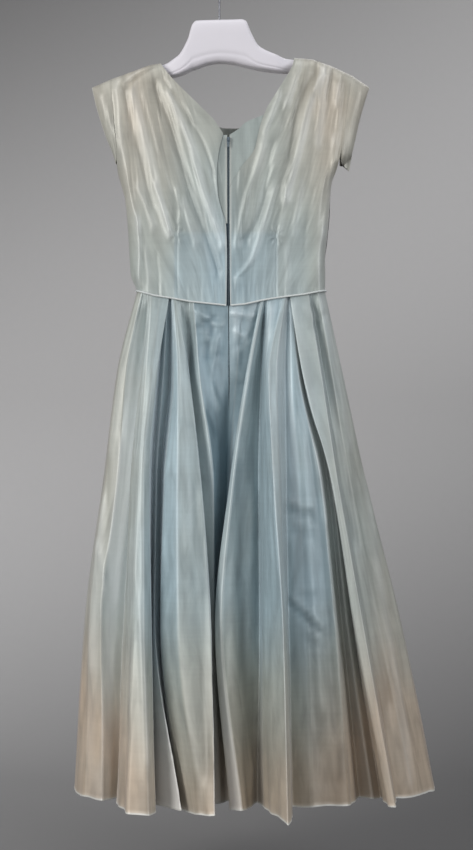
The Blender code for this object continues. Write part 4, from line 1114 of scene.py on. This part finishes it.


def woven(tree, stops, edge_and_highlight_colour, roughness, lustre, sheen, sheen_tint):
    """Woven silk-like cloth: a ramp of its ages, slub streaks, watered lines, painted light and shade from
    the shade paint, a painted highlight from the rim paint, and a weave in relief.
    """
    uv = cloth_place(tree)
    clouds = noise(tree, object_place(tree), 7.0, 3.0)
    age = math_node(tree, "ADD", painted(tree, "aged"), math_node(tree, "MULTIPLY_ADD", clouds, 0.3, -0.15))
    ramp = put(tree, "ShaderNodeValToRGB", {"Fac": age})
    elements = ramp.color_ramp.elements
    for index in (0, -1):
        elements[index].position = stops[index][0]
        elements[index].color = stops[index][1]
    for position, colour in stops[1:-1]:
        elements.new(position).color = colour

    slubs = noise(tree, mapped(tree, uv, (240.0, 9.0, 1.0)), 1.0, 3.0)
    weft = noise(tree, mapped(tree, uv, (5.0, 160.0, 1.0)), 1.0, 2.0)
    streaks = math_node(tree, "MULTIPLY", math_node(tree, "ADD", slubs, weft), 0.5)
    streak_shade = ranged(tree, streaks, 0.95, 1.04, 0.3, 0.7)
    watered = noise(tree, mapped(tree, uv, (75.0, 11.0, 1.0)), 1.0, 4.0, 0.6)
    shimmer = ranged(tree, watered, 0.82, 1.14, 0.32, 0.68)
    shone = mixed(tree, 1.0, ramp.outputs["Color"], shimmer, "MULTIPLY")
    streaked = mixed(tree, 1.0, shone, streak_shade, "MULTIPLY")
    # Painted light is screened on where the shade paint is below 0, and painted shade, bluer on fresh cloth
    # and browner on yellowed, is multiplied in where it is above 0.
    deep = painted(tree, "deep")
    lit = mixed(tree, math_node(tree, "MULTIPLY", deep, -1.0), streaked, PAINTED_LIGHT_COLOUR, "SCREEN")
    shadow = mixed(tree, age, SHADE_BLUE, SHADE_BROWN)
    sunk = mixed(tree, deep, lit, mixed(tree, 1.0, lit, shadow, "MULTIPLY"))
    # the rim paint is a painted highlight, drawn towards the colour of the turned edge
    rimmed = mixed(tree, math_node(tree, "MULTIPLY", painted(tree, "rim"), RIM_LIGHT), sunk, edge_and_highlight_colour)
    tone = mixed(tree, painted(tree, "edge"), rimmed, edge_and_highlight_colour)

    weave = math_node(tree, "ADD", bands(tree, uv, 250.0, 0.6), bands(tree, uv, 270.0, 0.6, "Y"))
    relief = math_node(tree, "ADD", math_node(tree, "MULTIPLY", weave, 0.3), streaks)
    shader = shaded(
        tree,
        tone,
        roughness,
        Metallic=lustre,
        Sheen_Weight=sheen,
        Sheen_Roughness=0.32,
        Sheen_Tint=sheen_tint,
        Specular_IOR_Level=0.6,
        Normal=bumped(tree, relief, 0.00012, 0.5),
    )
    lead_out(tree, shader)


def organza(tree, colours):
    """The shimmering outer cloth, blue where it is fresh and cream where it has yellowed."""
    stops = (
        (0.05, linear(colours.organza_blue)),
        (0.42, linear(colours.organza_grey)),
        (0.75, linear(colours.organza_cream)),
        (1.0, linear(colours.organza_hem)),
    )
    woven(tree, stops, linear(colours.organza_edge_and_highlight), 0.42, 0.1, 0.15, (0.92, 0.9, 1.0, 1.0))


def taffeta(tree, colours):
    """The plain blue under layer."""
    stops = ((0.0, linear(colours.taffeta_blue)), (1.0, linear(colours.organza_grey)))
    woven(tree, stops, linear(colours.organza_edge_and_highlight), 0.45, 0.08, 0.1, (0.92, 0.94, 1.0, 1.0))


def piping_cloth(tree, colours):
    """Cream cord covered in the same cloth, cut on the bias so that its threads wind round it."""
    threads = bands(tree, mapped(tree, cloth_place(tree), turn=(0, 0, 0.7)), 240.0, 1.0)
    tone = mixed(tree, threads, linear(colours.piping_cream, 0.9), linear(colours.piping_cream))
    lead_out(tree, shaded(tree, tone, 0.5, Sheen_Weight=0.25, Normal=bumped(tree, threads, 0.0002, 0.5)))


def zip_metal(tree, colours):
    """Dull grey zip metal, darker in its scratches."""
    worn = noise(tree, object_place(tree), 900.0, 4.0)
    tone = mixed(tree, worn, linear(colours.zip_metal, 0.7), linear(colours.zip_metal, 1.15))
    lead_out(tree, shaded(tree, tone, ranged(tree, worn, 0.28, 0.5), Metallic=0.9))


def zip_cloth(tree, colours):
    """Blue cotton tape with a herringbone weave in relief."""
    twill = bands(tree, mapped(tree, object_place(tree), turn=(0, 0.8, 0)), 320.0)
    tone = mixed(tree, twill, linear(colours.zip_blue, 0.8), linear(colours.zip_blue, 1.1))
    lead_out(tree, shaded(tree, tone, 0.75, Normal=bumped(tree, twill, 0.0003, 0.6)))


def moulded_plastic(tree, colours):
    """White moulded plastic with a faint orange-peel skin and a little grime."""
    place = object_place(tree)
    grime = noise(tree, place, 16.0, 4.0)
    tone = mixed(tree, grime, linear(colours.hanger_white, 0.96), linear(colours.hanger_white, 1.02))
    peel = bumped(tree, noise(tree, place, 420.0, 2.0), 0.0001, 0.3)
    lead_out(tree, shaded(tree, tone, 0.38, Specular_IOR_Level=0.5, Normal=peel))


def hook_chrome(tree, colours):
    """Bright drawn wire with fine scratches along it."""
    scratches = noise(tree, mapped(tree, object_place(tree), (1.0, 1.0, 0.06)), 900.0, 1.0)
    rough = ranged(tree, scratches, 0.24, 0.32)
    lead_out(tree, shaded(tree, linear(colours.hook_chrome), rough, Metallic=1.0))


def studio_paper(tree, colours):
    """Matt backdrop paper, with a painted pool of light: e^-(d / reach)^2 with d the height over a slanting
    line.
    From behind and from below it is clear, so that the front of the dress can be seen too."""
    place = object_place(tree)
    parts = put(tree, "ShaderNodeSeparateXYZ", {0: place}).outputs
    tilt = math_node(tree, "MULTIPLY_ADD", parts[0], -0.4, 0.57)
    outwards = math_node(tree, "MULTIPLY_ADD", parts[1], 0.12, -0.228)
    above = math_node(tree, "ADD", math_node(tree, "ADD", parts[2], tilt), outwards)
    spread = math_node(tree, "POWER", math_node(tree, "DIVIDE", above, POOL_REACH), 2.0)
    pool = math_node(tree, "POWER", math.e, math_node(tree, "MULTIPLY", spread, -1.0))
    fibre = noise(tree, place, 60.0, 2.0)
    paper = mixed(tree, fibre, linear(colours.backdrop, 0.985), linear(colours.backdrop, 1.015))
    shader = shaded(tree, mixed(tree, 1.0, paper, pool, "MULTIPLY"), 0.9)
    back = put(tree, "ShaderNodeNewGeometry").outputs["Backfacing"]
    clear = put(tree, "ShaderNodeBsdfTransparent").outputs[0]
    lead_out(tree, put(tree, "ShaderNodeMixShader", {0: back, 1: shader, 2: clear}).outputs[0])


# Zip and hanger


def centre_back_depth(height):
    """Depth of the cloth's outer face on the centre back line."""
    waist = float(waist_height(CENTRE_BACK_X))
    bodice = bodice_depth(np.full_like(height, CENTRE_BACK_X), height, False, creases=(), fine=0.0)
    seam = BACK_FOLDS[BACK_NAMES.index("centre seam")]
    level = (waist - height) / (waist - HEM_Z) * SKIRT_LENGTH
    return np.where(height > waist, bodice, eased(level, DEPTH_LEVELS, seam[DEPTHS]))


def build_teeth(colours):
    """The closed chain: teeth in turn from the left and the right, each a block that narrows to the
    middle, half a pitch apart: a corner is centre + side (x, y, z) of the block."""
    heights = np.arange(ZIP_TOP_Z - SLIDER_HEIGHT - 1.5, ZIP_END_Z + 1.0, -TOOTH_PITCH / 2)
    side = np.where(np.arange(len(heights)) % 2 == 0, -1.0, 1.0)
    section = ((-0.4, -0.34), (1.45, -0.52), (1.45, 0.52), (-0.4, 0.34))
    block = np.array([(x, y, z) for y in (-0.75, 0.75) for x, z in section])
    points = np.repeat(block[None], len(heights), axis=0)
    points[..., 0] *= side[:, None]
    points[..., 0] += CENTRE_BACK_X
    points[..., 1] += (centre_back_depth(heights) + TOOTH_DEPTH)[:, None]
    points[..., 2] += heights[:, None]
    quads = np.array([(0, 3, 2, 1), (4, 5, 6, 7), (0, 1, 5, 4), (2, 3, 7, 6), (1, 2, 6, 5), (3, 0, 4, 7)])
    faces = quads[None] + len(block) * np.arange(len(heights))[:, None, None]
    mirrored = (side < 0)[:, None, None]
    faces = np.where(mirrored, faces[..., ::-1], faces).reshape(-1, 4)
    teeth = put_mesh("zip_teeth", points.reshape(-1, 3), faces.tolist())
    bevel = teeth.modifiers.new("worn edges", "BEVEL")
    bevel.width = 0.12 * MM
    bevel.segments = 1
    finish_piece(teeth, finish("zip_metal_finish", zip_metal, colours), "zip_chain")


def build_zip(colours):
    """The teeth, and the finishes of the zip's other solids."""
    build_teeth(colours)
    metal = finish("zip_metal_finish", zip_metal, colours)
    tape = finish("zip_tape_finish", zip_cloth, colours)
    solids = {"zip_slider": metal, "zip_pull": metal, "zip_tape_left": tape, "zip_tape_right": tape}
    for name, material in solids.items():
        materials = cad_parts[name].data.materials
        materials.clear()
        materials.append(material)


def build_hanger_body(colours):
    """The moulded body: through each station an oval |cos|^p by |sin|^p, with p 0.45 in the open and 1.2
    under the cloth, and a shallow groove low on its faces."""
    stations = column(HANGER_STATIONS, 0)
    turn = np.linspace(0, 2 * math.pi, 120, endpoint=False)
    left_end = np.linspace(stations[0], stations[1], 8)[:-1]
    right_end = np.linspace(stations[-2], stations[-1], 8)[1:]
    places = np.concatenate([left_end, np.linspace(stations[1], stations[-2], 160), right_end])
    tops, bottoms, halves = (smooth(places, HANGER_STATIONS, index) for index in (1, 2, 3))
    free = (places > HANGER_NECK[0]) & (places < HANGER_NECK[1])
    under_shoulders = straight(places, SHOULDER_LINE) - CLOTH_WALL - HANGER_REST
    tops = np.where(free, tops, np.minimum(tops, under_shoulders))
    middle = ((tops + bottoms) / 2)[:, None]
    tall = ((tops - bottoms) / 2)[:, None]
    under_cloth = blend_in(np.maximum(HANGER_NECK[0] + 25 - places, places - HANGER_NECK[1] + 35), 0, 30)
    square = (0.45 + 0.75 * under_cloth)[:, None]
    oval_y = np.sign(np.cos(turn)) * np.abs(np.cos(turn)) ** square
    oval_z = np.sign(np.sin(turn)) * np.abs(np.sin(turn)) ** square
    oval_y *= 1 - 0.05 * bell((oval_z + 0.62) / 0.09)
    section = np.broadcast_arrays(places[:, None], halves[:, None] * oval_y, middle + tall * oval_z)
    body = put_rings("hanger_moulding", np.stack(section, axis=-1))
    finish_piece(body, finish("hanger_plastic", moulded_plastic, colours), "hanger_body")


def build_hook(colours):
    """The wire hook: a short foot, a bend (1 - s)^3 start + 3 (1 - s)^2 s first + 3 (1 - s) s^2 second
    + s^3 joint, and an arc on to its end."""
    join, end = math.radians(HOOK_JOIN_ANGLE), math.radians(HOOK_END_ANGLE)
    centre = np.array([0.0, HOOK_CENTRE_Z])
    joint = centre + HOOK_BEND_RADIUS * np.array([math.cos(join), math.sin(join)])
    start = np.array([0.0, HOOK_SHANK_TOP_Z])
    first = start + np.array([0.0, HOOK_REACH])
    second = joint - HOOK_REACH * np.array([-math.sin(join), math.cos(join)])
    s = np.linspace(0, 1, 24)[:, None]
    bend = (1 - s) ** 3 * start + 3 * (1 - s) ** 2 * s * first + 3 * (1 - s) * s**2 * second + s**3 * joint
    turns = np.linspace(join, end, 72)[1:]
    arc = centre + HOOK_BEND_RADIUS * np.column_stack([np.cos(turns), np.sin(turns)])
    foot = np.array([[0.0, HANGER_TOP_Z + HOOK_SEAT], [0.0, HANGER_TOP_Z + 16]])
    flat = np.concatenate([foot, bend, arc])
    path = np.column_stack([flat[:, 0], np.zeros(len(flat)), flat[:, 1]])
    radii = np.full(len(path), HOOK_WIRE_RADIUS)
    radii[-1] = HOOK_WIRE_RADIUS * 0.6
    hook = put_rings("hook_wire", tube_rings(path, radii, 20))
    finish_piece(hook, finish("hook_chrome_finish", hook_chrome, colours), "hanger_hook")


# Stage


def put_light(name, place, aim, size, power, colour):
    """A soft rectangular light at a place, turned towards a point."""
    data = bpy.data.lights.new(name, "AREA")
    data.shape = "RECTANGLE"
    data.size, data.size_y = size
    data.energy = power
    data.color = colour
    light = bpy.data.objects.new(name, data)
    light.location = place
    away = np.array(aim, float) - np.array(place, float)
    pitch = math.atan2(math.hypot(away[0], away[1]), -away[2])
    light.rotation_euler = (pitch, 0, math.atan2(away[1], away[0]) - math.pi / 2)
    bpy.context.scene.collection.objects.link(light)


def build_stage(settings, colours):
    """Floor and wall in one sweep, the lights and the camera."""
    back = settings.wall_distance
    bend = 0.9
    angles = np.linspace(0, math.pi / 2, 24)
    profile_y = np.concatenate([[-6.0], back - bend + bend * np.sin(angles), [back]])
    profile_z = np.concatenate([[FLOOR_Z], FLOOR_Z + bend - bend * np.cos(angles), [3.2]])
    count = len(profile_y)
    grid = np.empty((2, count, 3))
    grid[..., 0] = np.array([-5.0, 5.0])[:, None]
    grid[..., 1] = profile_y
    grid[..., 2] = profile_z
    faces = [(i, count + i, count + i + 1, i + 1) for i in range(count - 1)]
    sweep = put_mesh("studio_sweep", grid.reshape(-1, 3) / MM, faces)
    sweep.data.materials.append(finish("studio_paper", studio_paper, colours))

    aim = (0.03, 0, -0.85)
    put_light("key", (-2.3, -2.3, -0.2), aim, (1.1, 2.0), settings.key_power, (1.0, 0.99, 0.97))
    put_light("fill", (2.5, -2.2, -0.2), aim, (1.1, 2.0), settings.fill_power, (0.97, 0.98, 1.0))
    put_light("top", (0.2, -0.4, 1.9), (0.1, 0.3, -0.8), (1.6, 1.2), settings.top_power, (1.0, 1.0, 1.0))
    put_light("front", (0.9, 1.7, 1.1), (0, 0.1, -0.9), (1.4, 1.2), settings.front_power, (1.0, 1.0, 1.0))

    world = bpy.data.worlds.new("studio_air")
    world.use_nodes = True
    air = world.node_tree.nodes["Background"]
    air.inputs["Color"].default_value = (0.92, 0.95, 1.0, 1.0)
    air.inputs["Strength"].default_value = settings.air_strength
    bpy.context.scene.world = world
    bpy.context.scene.view_settings.view_transform = "Standard"

    data = bpy.data.cameras.new("camera")
    data.sensor_fit = "VERTICAL"
    data.angle = 2 * math.atan(VIEW_HEIGHT / 2 / (SEEN_FROM * MM))
    data.clip_end = 50
    camera = bpy.data.objects.new("camera", data)
    camera.location = (SEEN_ALONG_X * MM, -SEEN_FROM * MM, EYE_HEIGHT_Z)
    camera.rotation_euler = (math.pi / 2, 0, 0)
    bpy.context.scene.collection.objects.link(camera)
    bpy.context.scene.camera = camera


# Settings


def length(name, text, value, low, high):
    """A length property in metres."""
    limits = {"min": low, "max": high, "precision": 4}
    return bpy.props.FloatProperty(
        name=name, description=text, default=value, unit="LENGTH", subtype="DISTANCE", **limits
    )


def number(name, text, value, low, high):
    """A plain number property."""
    return bpy.props.FloatProperty(name=name, description=text, default=value, min=low, max=high)


def colour(name, text, red, green, blue):
    """A colour property, from the screen values 0 to 255 that a maker would pick."""
    values = [((part / 255 + 0.055) / 1.055) ** 2.4 for part in (red, green, blue)]
    return bpy.props.FloatVectorProperty(
        name=name, description=text, default=values, min=0, max=1, size=3, subtype="COLOR"
    )


class DressSizes(bpy.types.PropertyGroup):
    """Sizes that a user would change."""

    cloth_thickness: length("Cloth", "Thickness of the shown cloth", 0.0007, 0.0003, 0.0012)
    pleat_round: length("Pleat round", "Half width of a rounded fold half way down", 0.0042, 0.003, 0.03)
    crease_scale: number("Creases", "How strongly the soft creases stand out", 1.0, 0.0, 3.0)
    zip_gap: length("Zip gap", "Half of the opening over the zip below the waist", 0.0016, 0.0005, 0.003)
    layer_step: length("Layer step", "From the draped layer to the under layer", 0.0014, 0.001, 0.004)
    piping_radius: length("Piping", "Radius of the cord at the waist", 0.0016, 0.001, 0.003)


class DressColours(bpy.types.PropertyGroup):
    """Colours of the dress, its zip, the hanger and the backdrop."""

    organza_blue: colour("Fresh blue", "Outer cloth where it kept its colour", 154, 172, 178)
    organza_grey: colour("Grey green", "Outer cloth where it has begun to yellow", 160, 166, 160)
    organza_cream: colour("Cream", "Outer cloth where it has yellowed", 170, 166, 154)
    organza_hem: colour("Hem", "Outer cloth at its most worn", 180, 164, 145)
    # also the colour of the painted highlights on folded edges and beside the zip
    organza_edge_and_highlight: colour("Turned edge", "The rolled edge of hem and sleeve", 194, 193, 186)
    taffeta_blue: colour("Under layer", "The plain cloth under the drape", 140, 150, 148)
    piping_cream: colour("Piping", "The cord at the waist", 198, 202, 200)
    zip_blue: colour("Zip tape", "The tapes beside the chain", 70, 92, 108)
    zip_metal: colour("Zip metal", "Chain, slider and pull", 120, 132, 140)
    hanger_white: colour("Hanger", "Moulded plastic", 211, 207, 212)
    hook_chrome: colour("Hook", "Bright wire", 120, 120, 124)
    backdrop: colour("Backdrop", "Floor and wall", 179, 177, 176)


class StudioSettings(bpy.types.PropertyGroup):
    """Lights and the room."""

    key_power: number("Key", "Power of the light from the left", 64.0, 0.0, 500.0)
    fill_power: number("Fill", "Power of the light from the right", 32.0, 0.0, 500.0)
    top_power: number("Top", "Power of the light from above", 12.0, 0.0, 500.0)
    front_power: number("Front", "Power of the light on the side that the photo hides", 11.0, 0.0, 500.0)
    air_strength: number("Air", "Even light from all round", 0.62, 0.0, 5.0)
    wall_distance: number("Wall", "From the dress to the wall, metres", 1.9, 1.2, 6.0)


class DRESS_OT_skirt(bpy.types.Operator):
    """Build the pleated skirt"""

    bl_idname = "dress.skirt"
    bl_label = "Skirt"

    def execute(self, context):
        build_skirt(context.scene.dress_sizes, context.scene.dress_colours)
        return {"FINISHED"}


class DRESS_OT_bodice(bpy.types.Operator):
    """Build the draped bodice, back and front"""

    bl_idname = "dress.bodice"
    bl_label = "Bodice"

    def execute(self, context):
        build_bodice(context.scene.dress_sizes, context.scene.dress_colours)
        return {"FINISHED"}


class DRESS_OT_under_bodice(bpy.types.Operator):
    """Build the plain layer that shows beside the zip"""

    bl_idname = "dress.under_bodice"
    bl_label = "Under layer"

    def execute(self, context):
        build_under_bodice(context.scene.dress_sizes, context.scene.dress_colours)
        return {"FINISHED"}


class DRESS_OT_sleeves(bpy.types.Operator):
    """Build the two cap sleeves"""

    bl_idname = "dress.sleeves"
    bl_label = "Cap sleeves"

    def execute(self, context):
        sizes, colours = context.scene.dress_sizes, context.scene.dress_colours
        build_sleeve("cap_sleeve_left", SLEEVE_SEAM_LEFT, SLEEVE_EDGE_LEFT, -1, sizes, colours)
        build_sleeve("cap_sleeve_right", SLEEVE_SEAM_RIGHT, SLEEVE_EDGE_RIGHT, 1, sizes, colours)
        return {"FINISHED"}


class DRESS_OT_piping(bpy.types.Operator):
    """Build the cord along the waist seam, in three lengths"""

    bl_idname = "dress.piping"
    bl_label = "Piping"

    def execute(self, context):
        sizes, colours = context.scene.dress_sizes, context.scene.dress_colours
        side_left, side_right = SIDE_LEFT[0][0], SIDE_RIGHT[0][0]
        build_piping("piping_back_left", side_left, BACK_EDGE_LEFT[0][0] - 0.5, False, sizes, colours)
        build_piping("piping_back_right", BACK_EDGE_RIGHT[0][0] + 0.5, side_right, False, sizes, colours)
        build_piping("piping_front", side_right, side_left, True, sizes, colours)
        return {"FINISHED"}


class DRESS_OT_zip(bpy.types.Operator):
    """Finish the zip: tapes, chain, slider and pull"""

    bl_idname = "dress.zip"
    bl_label = "Zip"

    def execute(self, context):
        build_zip(context.scene.dress_colours)
        return {"FINISHED"}


class DRESS_OT_hanger(bpy.types.Operator):
    """Build the moulded hanger and its hook"""

    bl_idname = "dress.hanger"
    bl_label = "Hanger"

    def execute(self, context):
        build_hanger_body(context.scene.dress_colours)
        build_hook(context.scene.dress_colours)
        return {"FINISHED"}


class DRESS_OT_stage(bpy.types.Operator):
    """Build the floor, the wall, the lights and the camera"""

    bl_idname = "dress.stage"
    bl_label = "Studio"

    def execute(self, context):
        build_stage(context.scene.dress_studio, context.scene.dress_colours)
        return {"FINISHED"}


BUILDERS = (
    DRESS_OT_stage,
    DRESS_OT_skirt,
    DRESS_OT_bodice,
    DRESS_OT_under_bodice,
    DRESS_OT_sleeves,
    DRESS_OT_piping,
    DRESS_OT_zip,
    DRESS_OT_hanger,
)


class DRESS_PT_sidebar(bpy.types.Panel):
    """Lists the builders of the dress."""

    bl_label = "Dress"
    bl_idname = "DRESS_PT_sidebar"
    bl_space_type = "VIEW_3D"
    bl_region_type = "UI"
    bl_category = "Dress"

    def draw(self, context):
        for builder in BUILDERS:
            self.layout.operator(builder.bl_idname)
        for group in (context.scene.dress_sizes, context.scene.dress_colours, context.scene.dress_studio):
            box = self.layout.box()
            for key in group.__annotations__:
                box.prop(group, key)


CLASSES = (DressSizes, DressColours, StudioSettings, *BUILDERS, DRESS_PT_sidebar)


def register():
    for cls in CLASSES:
        bpy.utils.register_class(cls)
    bpy.types.Scene.dress_sizes = bpy.props.PointerProperty(type=DressSizes)
    bpy.types.Scene.dress_colours = bpy.props.PointerProperty(type=DressColours)
    bpy.types.Scene.dress_studio = bpy.props.PointerProperty(type=StudioSettings)


def unregister():
    del bpy.types.Scene.dress_studio
    del bpy.types.Scene.dress_colours
    del bpy.types.Scene.dress_sizes
    for cls in reversed(CLASSES):
        bpy.utils.unregister_class(cls)


def main():
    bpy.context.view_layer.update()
    register()
    bpy.ops.dress.stage()
    bpy.ops.dress.skirt()
    bpy.ops.dress.bodice()
    bpy.ops.dress.under_bodice()
    bpy.ops.dress.sleeves()
    bpy.ops.dress.piping()
    bpy.ops.dress.zip()
    bpy.ops.dress.hanger()
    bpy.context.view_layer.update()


if __name__ == "__main__":
    main()
